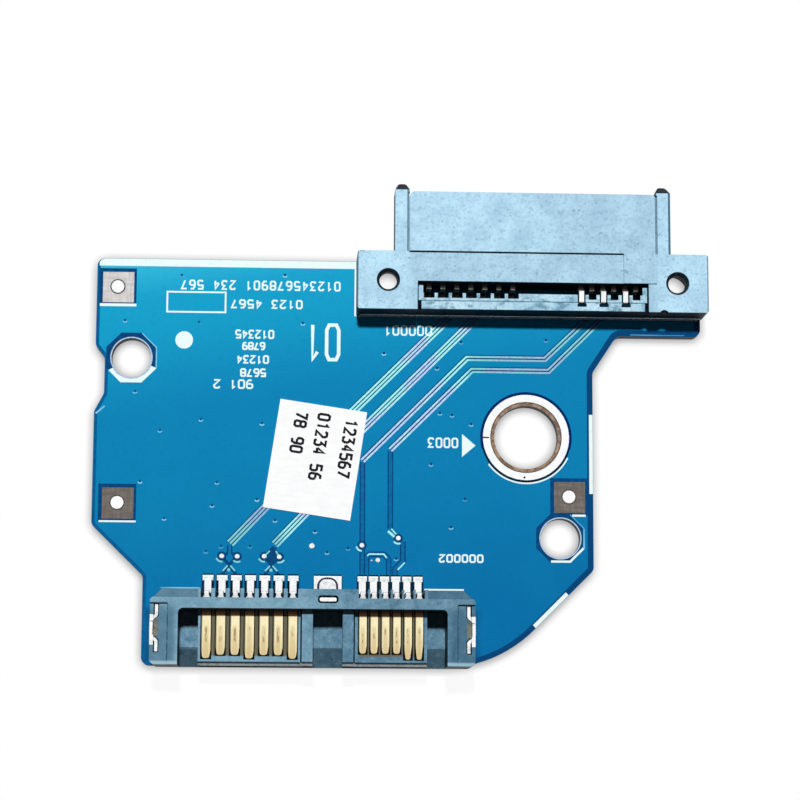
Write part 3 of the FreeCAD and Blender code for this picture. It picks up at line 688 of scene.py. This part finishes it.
def dress_nodes():
    """Gives every solid of the frame its finish."""
    finishes = {
        "circuit_board": BOARD, "ground_ring": TIN, "fiducial_pads": TIN, "paper_label": PAPER,
        "plug_housing": PLUG_PLASTIC, "plug_solder_pads": TIN, "plug_center_tab": STEEL,
        "plug_hold_down_left": STEEL, "plug_hold_down_right": STEEL,
        "receptacle_housing": RECEPTACLE_PLASTIC, "receptacle_tail_comb": COMB_PLASTIC,
        # The receptacle's pads get the solder in painted shade
        "receptacle_solder_pads": SOLDER_IN_SHADE,
    }
    for name, node in nodes.items():
        finish = finishes.get(name) or (GOLD if name.startswith("plug_") else SPRING)
        node.data.materials.clear()
        node.data.materials.append(finish)


# Meshes: helpers that add closed forms to a bmesh, with corners in millimetres

def mitre(before, after):
    """Sideways step, for one unit of offset, at the corner between two runs."""
    first, second = [Vector((-run.y, run.x)).normalized() for run in (before, after)]
    middle = (first + second).normalized()
    return middle / max(middle.dot(first), MITRE_LIMIT)


def offset(points, distance, closed=False):
    """The line moved sideways: a positive distance goes to the left of its direction."""
    points = [Vector(point) for point in points]
    after = [points[(i + 1) % len(points)] - points[i] for i in range(len(points))]
    before = after[-1:] + after[:-1]
    if not closed:
        before[0] = after[0]
        after[-1] = after[-2]
    return [point + mitre(*runs) * distance for point, *runs in zip(points, before, after)]


def raise_loop(mesh, corners, height):
    return [mesh.verts.new((x * MM, y * MM, height * MM)) for x, y in corners]


def add_wall(mesh, lower, upper, closed=True):
    """Faces between two rows of vertices."""
    count = len(lower)
    for i in range(count if closed else count - 1):
        j = (i + 1) % count
        mesh.faces.new((lower[i], lower[j], upper[j], upper[i]))


def add_plate(mesh, corners, high, low=BOARD_TOP):
    """Prism over a loop."""
    foot = raise_loop(mesh, corners, low)
    crown = raise_loop(mesh, corners, high)
    mesh.faces.new(foot[::-1])
    mesh.faces.new(crown)
    add_wall(mesh, foot, crown)


def add_strip(mesh, *edges, closed=False):
    """Bar whose long edges have the same number of points, each edge at its own height."""
    rows = [raise_loop(mesh, line, height) for line, height in edges]
    for here, following in zip(rows, rows[1:] + rows[:1]):
        add_wall(mesh, here, following, closed)
    if not closed:
        for end in (0, -1):
            mesh.faces.new([row[end] for row in rows])


def add_band(mesh, right, left, high, low=BOARD_TOP, closed=True):
    """Flat strip between two loops or two open lines."""
    add_strip(mesh, (right, low), (right, high), (left, high), (left, low), closed=closed)


def add_slope(mesh, outer, inner, high, low):
    """Strip that rises from its outer line to its inner one."""
    add_strip(mesh, (outer, low), (inner, high), (inner, low))


def add_line(mesh, points, width, high, low=BOARD_TOP, shift=0.0, to_label=False):
    """Flat strip along a line, or beside it when shifted; it may end where it meets the label."""
    closed = points[0] == points[-1]
    if closed:
        points = points[:-1]
    right, left = [offset(points, shift + side * width / 2, closed) for side in (-1, 1)]
    if to_label:
        for line in (right, left):
            line[-1] = stop_at_label(line[-2], line[-1])
    add_band(mesh, right, left, high, low, closed)


def arc(centre, radius, start, stop, count):
    """Points along an arc, both ends included; angles in degrees."""
    x, y = centre
    turns = [math.radians(start + (stop - start) * i / count) for i in range(count + 1)]
    return [Vector((x + radius * math.cos(t), y + radius * math.sin(t))) for t in turns]


def circle(centre, radius, count=48):
    return arc(centre, radius, 0, 360, count)[:-1]


def polygon_loop(centre, reach, sides, count=48):
    """Upright polygon with as many points as a circle; its flats lie at the given reach."""
    loop = []
    step = 2 * math.pi / sides
    for i in range(count):
        turn = 2 * math.pi * i / count
        off = (turn + step / 2) % step - step / 2
        radius = reach / math.cos(off)
        loop.append(Vector((centre[0] + radius * math.cos(turn), centre[1] + radius * math.sin(turn))))
    return loop


def box_loop(x0, x1, y0, y1):
    return [(x0, y0), (x1, y0), (x1, y1), (x0, y1)]


def add_ring(mesh, centre, inner, outer, high, count=48):
    add_band(mesh, circle(centre, outer, count), circle(centre, inner, count), high)


def add_arc(mesh, centre, inner, outer, start, stop, high, count):
    near, far = [arc(centre, radius, start, stop, count) for radius in (outer, inner)]
    add_band(mesh, near, far, high, closed=False)


def add_dome(mesh, centre, radius, count=20):
    """Low round dome on the board."""
    share, shoulder = DOT_SHOULDER
    foot, upper = [raise_loop(mesh, circle(centre, radius * part, count), BOARD_TOP + height)
                   for part, height in ((1, 0), (share, shoulder))]
    mesh.faces.new(foot[::-1])
    add_wall(mesh, foot, upper)
    top = mesh.verts.new((centre[0] * MM, centre[1] * MM, (BOARD_TOP + DOT_HEIGHT) * MM))
    for i in range(count):
        mesh.faces.new((upper[i], upper[(i + 1) % count], top))


# Pieces: started as bmeshes, then turned into objects in the same order

pieces = []


def start_piece(name, finish, slot="board", smooth=False):
    mesh = bmesh.new()
    pieces.append((name, mesh, finish, slot, smooth))
    return mesh


def make_object(name, mesh, finish):
    data = bpy.data.meshes.new(name)
    mesh.to_mesh(data)
    mesh.free()
    data.materials.append(finish)
    made = bpy.data.objects.new(name, data)
    bpy.context.scene.collection.objects.link(made)
    return made


def finish_pieces():
    """Turns every bmesh into a piece that rides on the board."""
    for name, mesh, finish, slot, smooth in pieces:
        bmesh.ops.recalc_face_normals(mesh, faces=mesh.faces)
        for face in mesh.faces:
            face.smooth = smooth
        piece = make_object(name, mesh, finish)
        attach(piece, "root")


# The board's outline and the label's corners, read from the frame

def loop_area(corners):
    total = 0.0
    for i in range(len(corners)):
        total += corners[i - 1].x * corners[i].y - corners[i].x * corners[i - 1].y
    return total / 2


def top_outline(name):
    """Outer loop of a solid's top face, anticlockwise."""
    mesh = bmesh.new()
    mesh.from_mesh(nodes[name].data)
    bmesh.ops.remove_doubles(mesh, verts=mesh.verts, dist=1e-7)
    top = {face for face in mesh.faces if face.normal.z > 0.9}
    follow = {}
    for face in top:
        for loop in face.loops:
            if sum(other in top for other in loop.edge.link_faces) == 1:
                follow[loop.vert] = loop.link_loop_next.vert
    best = []
    while follow:
        here = next(iter(follow))
        run = []
        while here in follow:
            run.append(Vector((here.co.x / MM, here.co.y / MM)))
            here = follow.pop(here)
        if len(run) > 2 and loop_area(run) > loop_area(best):
            best = run
    mesh.free()
    return best


LABEL = top_outline("paper_label")


def stop_at_label(start, stop):
    """The place where the run from start first meets the label, or its own end."""
    run = stop - start
    enter, leave = 0.0, 1.0
    for i in range(len(LABEL)):
        side = LABEL[i] - LABEL[i - 1]
        outward = Vector((side.y, -side.x))
        speed = outward.dot(run)
        distance = outward.dot(LABEL[i] - start)
        if speed < 0:
            enter = max(enter, distance / speed)
        elif speed > 0:
            leave = min(leave, distance / speed)
        elif distance < 0:
            return stop
    return start + run * enter if enter < leave else stop


# Copper and lacquer on the board

def make_border():
    """Strip along the board's edge where the copper stops short, wider towards the right."""
    outer = top_outline("circuit_board")
    inner = []
    for thin, wide in zip(*[offset(outer, width, closed=True) for width in BORDER_WIDTHS]):
        share = (thin.x - board_low.x) / (board_high.x - board_low.x)
        inner.append(thin.lerp(wide, share))
    mesh = start_piece("copper_border", BORDER)
    add_band(mesh, offset(outer, EDGE_CLEARANCE, closed=True), inner, BORDER_TOP)


def add_fan(strips, lines, end, vias, join, pads, bright_top):
    """Dark lines from the end of a pair past two vias to two pads, with painted glints on their edges."""
    end, join = Vector(end), Vector(join)
    for side, via, pad in zip((-1, 1), vias, pads):
        beside = end + Vector((side * FAN_SPREAD, 0))
        start = end if bright_top else beside + Vector((0, -FAN_DROP))
        add_line(strips, [start, via, join, pad], FAN_WIDTH, DARK_TOP + LIFT * (2 + side))
        leg = [join + Vector((side * x, y)) for x, y in FAN_LEG]
        add_line(lines, leg, FAN_LINE, PALE_TOP, DARK_TOP)
        if bright_top:
            add_line(lines, [end.lerp(via, FAN_BRIGHT_START), via], FAN_LINE, PALE_TOP, DARK_TOP)
        else:
            add_line(strips, [beside, start], FAN_LINE, DARK_TOP)
    add_plate(lines, circle(join + Vector(FAN_DOT), FAN_LINE, 12), PALE_TOP, DARK_TOP)
    if bright_top:
        add_plate(strips, [end, vias[0], join, vias[1]], DARK_TOP)


def make_traces():
    strips = start_piece("trace_clearance", DARK)
    bands = start_piece("trace_bands", TRACE)
    lines = start_piece("trace_edges", PAINTED_GLINT)
    runs = [(points, PAIR_STRIP, PAIR_LINES) for points in PAIR_RUNS]
    runs += [(points, POWER_STRIP, POWER_LINES) for points in POWER_RUNS]
    for points, width, shifts in runs:
        far_side = 1 if points[0][1] < points[-1][1] else -1
        add_line(strips, points, width, DARK_TOP, shift=far_side * STRIP_SHIFT, to_label=True)
        for shift in shifts:
            add_line(lines, points, LINE_WIDTH, PALE_TOP, DARK_TOP, shift, to_label=True)
    for i, points in enumerate(DARK_RUNS):
        add_line(bands, points, TRACE_WIDTH, BORDER_TOP + i * LIFT)
        for shift in TRACE_EDGES:
            add_line(strips, points, TRACE_EDGE_WIDTH, DARK_TOP + i * LIFT, shift=shift)
    for points, width in BRIGHT_BITS:
        add_line(lines, points, width, PALE_TOP, DARK_TOP)
    for fan in FANS:
        add_fan(strips, lines, *fan)


def make_vias():
    """Vias under the lacquer: a dark disc as the dimple's painted shade, with a painted glint on its near
    side.
    """
    dimples = start_piece("via_dimple_shades", BORDER)
    arcs = start_piece("via_rims", GLINT)
    inner, outer = [VIA_DIMPLE + reach for reach in VIA_GLINT]
    for place in COVERED_VIAS:
        add_plate(dimples, circle(place, VIA_DIMPLE, 12), DARK_TOP)
        add_arc(arcs, place, inner, outer, *VIA_GLINT_TURN, PALE_TOP, 10)


def make_bright_vias():
    """Vias that end in a ringed solder dot with a painted glint on the ring, and plain dots."""
    rings = start_piece("bare_via_rings", DARK)
    dots = start_piece("bare_via_solder", SOLDER, "tin", smooth=True)
    arcs = start_piece("bare_via_rims", PAINTED_GLINT)
    for place, turn in BRIGHT_VIAS:
        add_ring(rings, place, BRIGHT_VIA_RADIUS, BRIGHT_VIA_RIM, LAMINATE_TOP, 24)
        add_arc(arcs, place, BRIGHT_VIA_RIM, BRIGHT_VIA_RIM + BRIGHT_VIA_GLINT,
                turn - GLINT_HALF_TURN, turn + GLINT_HALF_TURN, SILK_TOP, 10)
    for place, radius in BARE_DOTS + [(place, BRIGHT_VIA_RADIUS) for place, turn in BRIGHT_VIAS]:
        add_dome(dots, place, radius)


def add_window_sides(mesh, sides):
    """Painted highlight lines on sides of a hole's eight-sided window; corners count from just above the
    right.
    """
    for (place, reach), first, last, inset, width in sides:
        radius = (reach - inset) / math.cos(math.pi / 8)
        corners = arc(place, radius, 22.5 + 45 * first, 22.5 + 45 * last, last - first)
        add_line(mesh, corners, width, PALE_TOP, DARK_TOP + LIFT)


def make_hole_windows():
    """Eight-sided gaps in the copper round the plain holes, with bare rims and painted highlights on their
    sides.
    """
    dark = start_piece("hole_windows", DARK)
    rims = start_piece("hole_rims", HOLE_RIM)
    pale = start_piece("hole_window_edges", PRINT_AND_HIGHLIGHT)
    glints = start_piece("edge_glints", GLINT)
    top = DARK_TOP + LIFT
    for place, reach in (LEFT_HOLE, RIGHT_HOLE):
        add_band(dark, polygon_loop(place, reach, 8), circle(place, HOLE_RADIUS + WINDOW_START), top)
        add_ring(rims, place, HOLE_RADIUS + EDGE_CLEARANCE, HOLE_RADIUS + HOLE_RIM_REACH, top)
    place, reach = LEFT_HOLE
    outer, inner = polygon_loop(place, reach, 8), circle(place, HOLE_RADIUS + BRIGHT_START)
    add_band(pale, outer[BRIGHT_PART], inner[BRIGHT_PART], PALE_TOP, top, closed=False)
    add_window_sides(pale, WINDOW_EDGES)
    add_window_sides(glints, WINDOW_GLINTS)
    for points, width in EDGE_GLINTS:
        add_line(glints, points, width, PALE_TOP)


def make_fiducial_windows():
    """Square windows in lacquer and copper round the fiducial discs; painted shade rings and highlight bars.
    """
    frames = start_piece("fiducial_frames", DARK)
    laminate = start_piece("fiducial_laminate", LAMINATE)
    bars = start_piece("fiducial_bars", PRINT_AND_HIGHLIGHT)
    rims = start_piece("fiducial_rims", RIM_COPPER_AND_SHADE)
    inner = FIDUCIAL_RADIUS + EDGE_CLEARANCE
    outer = inner + FIDUCIAL_RIM
    reach = FIDUCIAL_FRAME / 2
    for place, (start, stop, width) in zip(FIDUCIALS, FIDUCIAL_BARS):
        square = polygon_loop(Vector(place) + Vector(WINDOW_SHIFT), FIDUCIAL_WINDOW / 2, 4)
        add_band(frames, polygon_loop(place, reach, 4), square, DARK_TOP)
        add_band(laminate, square, circle(place, outer + EDGE_CLEARANCE), LAMINATE_TOP)
        add_ring(rims, place, inner, outer, LAMINATE_TOP)
        near = [(place[0] + x, place[1] - reach) for x in (start, stop)]
        add_line(bars, near, width, SILK_TOP, DARK_TOP)


def make_screw_surround():
    """Laminate in the tinned ring; gaps round it, painted shade on the near side; a painted glint; marks on
    it.
    """
    centre = (0, 0)
    brink = RING_INNER - RIM_LINE
    laminate = start_piece("screw_hole_laminate", RIM_LAMINATE)
    add_ring(laminate, centre, SCREW_HOLE_RADIUS + EDGE_CLEARANCE, brink, LAMINATE_TOP, 72)
    rim = start_piece("screw_hole_rim", RIM_COPPER_AND_SHADE)
    add_ring(rim, centre, brink, RING_INNER - EDGE_CLEARANCE, DARK_TOP, 72)
    for name, finish, (inner, outer, start, stop), top, count in (
            ("ring_clearance_near", GAP_AND_SHADE_DARK, NEAR_GAP, LAMINATE_TOP, 40),
            ("ring_clearance_far", RING_GAP, FAR_GAP, LAMINATE_TOP, 56),
            ("ring_edge_glint", PRINT_AND_HIGHLIGHT, RING_EDGE_GLINT, SILK_TOP, 40)):
        mesh = start_piece(name, finish)
        add_arc(mesh, centre, RING_RADIUS + inner, RING_RADIUS + outer, start, stop, top, count)
    marks = start_piece("ring_marks", INK, "tin")
    add_line(marks, RING_MARK, RING_MARK_WIDTH, RING_TOP + RING_INK, RING_TOP)
    add_plate(marks, circle(*RING_DOT, 16), RING_TOP + RING_INK, RING_TOP)


# Print

DIGITS = {
    "0": [[(0.2, 0), (0.8, 0), (1, 0.15), (1, 0.85), (0.8, 1), (0.2, 1), (0, 0.85), (0, 0.15), (0.2, 0)]],
    "1": [[(0.2, 0.78), (0.6, 1), (0.6, 0)]],
    "2": [[(0, 0.82), (0.2, 1), (0.8, 1), (1, 0.84), (1, 0.64), (0, 0), (1, 0)]],
    "3": [[(0, 1), (1, 1), (0.5, 0.6), (0.8, 0.58), (1, 0.42), (1, 0.15), (0.8, 0), (0.2, 0), (0, 0.15)]],
    "4": [[(0.75, 0), (0.75, 1), (0, 0.32)], [(0, 0.32), (1, 0.32)]],
    "5": [[(1, 1), (0.04, 1), (0, 0.58), (0.8, 0.58), (1, 0.42), (1, 0.15), (0.8, 0), (0.2, 0), (0, 0.12)]],
    "6": [[(0.85, 1), (0.3, 1), (0, 0.72), (0, 0.15), (0.2, 0), (0.8, 0), (1, 0.15), (1, 0.4), (0.8, 0.55)],
          [(0.8, 0.55), (0, 0.55)]],
    "7": [[(0, 1), (1, 1), (0.35, 0)]],
    "8": [[(0.2, 0.53), (0, 0.66), (0, 0.86), (0.2, 1), (0.8, 1), (1, 0.86), (1, 0.66), (0.8, 0.53),
           (0.2, 0.53)],
          [(0.2, 0.53), (0, 0.4), (0, 0.14), (0.2, 0), (0.8, 0), (1, 0.14), (1, 0.4), (0.8, 0.53)]],
    "9": [[(0.15, 0), (0.7, 0), (1, 0.28), (1, 0.85), (0.8, 1), (0.2, 1), (0, 0.85), (0, 0.6), (0.2, 0.45)],
          [(0.2, 0.45), (1, 0.45)]],
}


def add_number(mesh, text, start, turn, sizes, stroke, high, low=BOARD_TOP):
    """A row of plain stroke digits from the foot of the first; sizes are height, pitch and width."""
    height, pitch, width = sizes
    angle = math.radians(turn)
    along = Vector((math.cos(angle), math.sin(angle)))
    up = Vector((-along.y, along.x))
    for i, digit in enumerate(text):
        foot = Vector(start) + along * (i * pitch)
        for k, points in enumerate(DIGITS.get(digit, [])):
            line = [foot + along * u * width + up * v * height for u, v in points]
            add_line(mesh, line, stroke, high + k * LIFT, low)


def make_print():
    mesh = start_piece("silkscreen_and_edge_glint", PRINT_AND_HIGHLIGHT)
    for corners in SILK_BARS:
        add_plate(mesh, corners, SILK_TOP, DARK_TOP)
    for points, width in SILK_LINES:
        add_line(mesh, points, width, SILK_TOP, DARK_TOP)
    add_plate(mesh, ARROW, SILK_TOP)
    add_plate(mesh, circle(*MARK_DISC, 32), SILK_TOP)
    add_line(mesh, MARK_BOX + MARK_BOX[:1], SILK_STROKE, SILK_TOP)
    for start, *sizes, text in SILK_NUMBERS:
        stroke = max(SILK_STROKE, sizes[0] * BIG_STROKE)
        add_number(mesh, text, start, 180, sizes, stroke, SILK_TOP)


def make_label_print():
    """Rows of numbers that run down the label."""
    middle = sum(LABEL, Vector((0, 0))) / len(LABEL)
    top = max(LABEL, key=lambda corner: corner.y)
    right = max(LABEL, key=lambda corner: corner.x)
    across = (right - top).normalized()
    turn = math.degrees(math.atan2(across.y, across.x)) - 90
    up = Vector((-across.y, across.x))
    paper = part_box("paper_label")[1].z / MM
    mesh = start_piece("label_print", INK, "label")
    for (x, y), text in LABEL_NUMBERS:
        start = middle + across * x + up * y
        add_number(mesh, text, start, turn, LABEL_NUMBER, LABEL_STROKE, paper + LABEL_INK, paper)


# Solder and trim at the connectors

def make_solder():
    """Fillets at the tails with painted dark reflection on the flanks, bright ends, and round the centre
    tab's foot.
    """
    ends = start_piece("solder_ends", SOLDER, "tin")
    flanks = start_piece("solder_flanks", SOLDER_DARK_REFLECTION, "tin")
    rear = plug_high.y + SOLDER_START
    base = pads_high.z
    top = base + TAIL_FOOT_TOP - SOLDER_DROP
    for low, high in PLUG_CONTACTS:
        middle = (low.x + high.x) / 2
        half = (high.x - low.x) / 2 + PAD_MARGIN
        pads = [(middle + side * half, middle + side * TAIL_FOOT_HALF) for side in (-1, 1)]
        for pad, foot in pads:
            add_slope(flanks, [(pad, rear), (pad, high.y)], [(foot, rear), (foot, high.y)], top, base)
        add_slope(ends, [(pad, high.y + SOLDER_REACH) for pad, foot in pads],
                  [(foot, high.y) for pad, foot in pads], top, base)
    left, right, end = tab_low.x, tab_high.x, tab_high.y
    corner = TAB_FOOT_ROUND
    foot = [(left, rear)] + arc((left + corner, end - corner), corner, 180, 90, 6)
    foot += arc((right - corner, end - corner), corner, 90, 0, 6) + [(right, rear)]
    add_slope(flanks, offset(foot, TAB_FLANK), foot, base + TAB_FOOT_TOP, base)


def make_clip_faces():
    """Outer faces of the plug's side clips, and the pockets beside them."""
    faces = start_piece("clip_faces", STEEL, "hold_down")
    pockets = start_piece("clip_pockets", CLIP_SHADE, "hold_down")
    for edge, inward in ((plug_low.x, 1), (plug_high.x, -1)):
        inner = edge + inward * CLIP_FACE_WIDTH
        deep = inner + inward * CLIP_POCKET_WIDTH
        forms = [(faces, edge, inner, *depths, CLIP_FACE_HEIGHT) for depths in CLIP_FACE]
        forms.append((pockets, inner, deep, *CLIP_POCKET, SHADE_HEIGHT))
        for mesh, start, stop, near, far, height in forms:
            loop = box_loop(*sorted((start, stop)), plug_low.y + near, plug_low.y + far)
            add_plate(mesh, loop, ARM_STEP_TOP + height, ARM_STEP_TOP)


def make_tongue_lips():
    """Low lips along the front of the plug's two tongues, higher on their keys."""
    mesh = start_piece("plug_tongue_lips", LIP_PLASTIC, "plug_plastic")
    depths = [plug_low.y + depth for depth in LIP_DEPTHS]
    for start, stop, height in TONGUE_LIPS:
        lip = box_loop(PLUG_MIDDLE + start, PLUG_MIDDLE + stop, *depths)
        add_plate(mesh, lip, BOARD_TOP + height, BOARD_TOP + height - LIP_THICKNESS)


def make_rear_rib():
    """Rib with a sloping top along the foot of the receptacle's rear face."""
    mesh = start_piece("receptacle_rear_rib", RIB_PLASTIC, "receptacle_plastic")
    ends = []
    for x in (receptacle_low.x + RIB_INSET, receptacle_high.x - RIB_INSET):
        corners = [(x, receptacle_low.y - out, BOARD_TOP + up) for out, up in REAR_RIB]
        ends.append([mesh.verts.new(Vector(corner) * MM) for corner in corners])
    mesh.faces.new(ends[0])
    mesh.faces.new(ends[1][::-1])
    add_wall(mesh, ends[1], ends[0])


def make_slot_shades():
    """Painted shade at the ends of the comb's three long slots."""
    half, reach = SLOT_SHADE
    mesh = start_piece("comb_slot_shades", GAP_AND_SHADE_DARK, "receptacle_plastic")
    for i in (1, 3, 5):
        low, high = [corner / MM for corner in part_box(f"receptacle_power_contact_{i}")]
        middle, rear = (low.x + high.x) / 2, low.y - SLOT_SHADE_GAP
        shade = box_loop(middle - half, middle + half, rear - reach, rear)
        add_plate(mesh, shade, comb_high.z + SHADE_HEIGHT, comb_high.z)


def make_notch_shadows():
    """Painted shadow: dark plates on the board below the notches in the plug's rear wall."""
    mesh = start_piece("notch_shadows", GAP_AND_SHADE_DARK)
    front = plug_high.y - NOTCH_DEPTH + EDGE_CLEARANCE
    for low, high in PLUG_CONTACTS:
        add_plate(mesh, box_loop(low.x - NOTCH_MARGIN, high.x + NOTCH_MARGIN, front, plug_high.y), DARK_TOP)


def make_pad_frames():
    """Gap in the lacquer round every plug pad."""
    mesh = start_piece("pad_gaps", GAP_AND_SHADE_DARK)
    pads = [(low, high, PAD_MARGIN) for low, high in PLUG_CONTACTS]
    pads.append((tab_low, tab_high, TAB_PAD_MARGIN))
    far = pads_high.y
    for low, high, margin in pads:
        x, half = (low.x + high.x) / 2, (high.x - low.x) / 2 + margin
        gap, width = SIDE_GAP
        for side in (-1, 1):
            edge = x + side * (half + gap)
            add_line(mesh, [(edge, pads_low.y), (edge, far)], width, LAMINATE_TOP)
        gap, width = END_GAP
        add_line(mesh, [(x - half, far + gap), (x + half, far + gap)], width, LAMINATE_TOP)


# Studio

camera_point = Vector((VIEW_POINT[0], VIEW_POINT[1], BOARD_TOP))


def make_camera():
    tilt, turn, roll = [math.radians(angle) for angle in (VIEW_TILT, VIEW_TURN, VIEW_ROLL)]
    back = Vector((math.sin(tilt) * math.sin(turn), -math.sin(tilt) * math.cos(turn), math.cos(tilt)))
    level = Vector((0, 1, 0)).cross(back).normalized()
    upright = back.cross(level)
    right = level * math.cos(roll) + upright * math.sin(roll)
    up = upright * math.cos(roll) - level * math.sin(roll)
    data = bpy.data.cameras.new("camera")
    data.sensor_width = SENSOR_WIDTH
    data.lens = SENSOR_WIDTH * VIEW_PIXELS_PER_MM * VIEW_DISTANCE / IMAGE_WIDTH
    data.clip_start = CLIP_START
    camera = bpy.data.objects.new("camera", data)
    turned = Matrix((right, up, back)).transposed().to_4x4()
    camera.matrix_world = Matrix.Translation((camera_point + back * VIEW_DISTANCE) * MM) @ turned
    bpy.context.scene.collection.objects.link(camera)
    bpy.context.scene.camera = camera


def make_light():
    """One soft lamp behind the board's far edge; reflections show the white room instead."""
    angle, turn = math.radians(KEY_ANGLE), math.radians(KEY_TURN)
    away = Vector((-math.sin(angle) * math.sin(turn), math.sin(angle) * math.cos(turn), math.cos(angle)))
    data = bpy.data.lights.new("key_light", "AREA")
    data.shape = "DISK"
    data.size = KEY_SIZE * MM
    data.energy = KEY_LEVEL * math.pi ** 2 * (KEY_DISTANCE * MM) ** 2 / math.cos(angle)
    light = bpy.data.objects.new("key_light", data)
    light.location = (camera_point + away * KEY_DISTANCE) * MM
    light.rotation_mode = "QUATERNION"
    light.rotation_quaternion = away.to_track_quat("Z", "Y")
    light.visible_camera = False
    light.visible_glossy = False
    bpy.context.scene.collection.objects.link(light)


def make_world():
    """White to the camera and in reflections, dimmer as a light on the part."""
    world = bpy.data.worlds.new("studio")
    world.use_nodes = True
    world.node_tree.nodes.clear()
    sky = Nodes(world.node_tree)
    dim, white = [sky.add("ShaderNodeBackground", {"Color": WHITE, "Strength": strength})
                  for strength in (WORLD_STRENGTH, 1.0)]
    both = sky.add("ShaderNodeMixShader", {0: seen_rays(sky), 1: dim, 2: white})
    out = sky.tree.nodes.new("ShaderNodeOutputWorld")
    sky.feed(out.inputs["Surface"], both)
    bpy.context.scene.world = world


def make_floor():
    mesh = bmesh.new()
    reach = FLOOR_HALF
    mesh.faces.new(raise_loop(mesh, box_loop(-reach, reach, -reach, reach), board_low.z - FLOOR_DROP))
    floor = make_object("floor", mesh, floor_material())


dress_nodes()
make_border()
make_traces()
make_vias()
make_bright_vias()
make_hole_windows()
make_fiducial_windows()
make_screw_surround()
make_print()
make_label_print()
make_solder()
make_clip_faces()
make_tongue_lips()
make_rear_rib()
make_slot_shades()
make_notch_shadows()
make_pad_frames()
finish_pieces()
make_camera()
make_light()
make_world()
make_floor()

bpy.context.scene.view_settings.view_transform = "Standard"
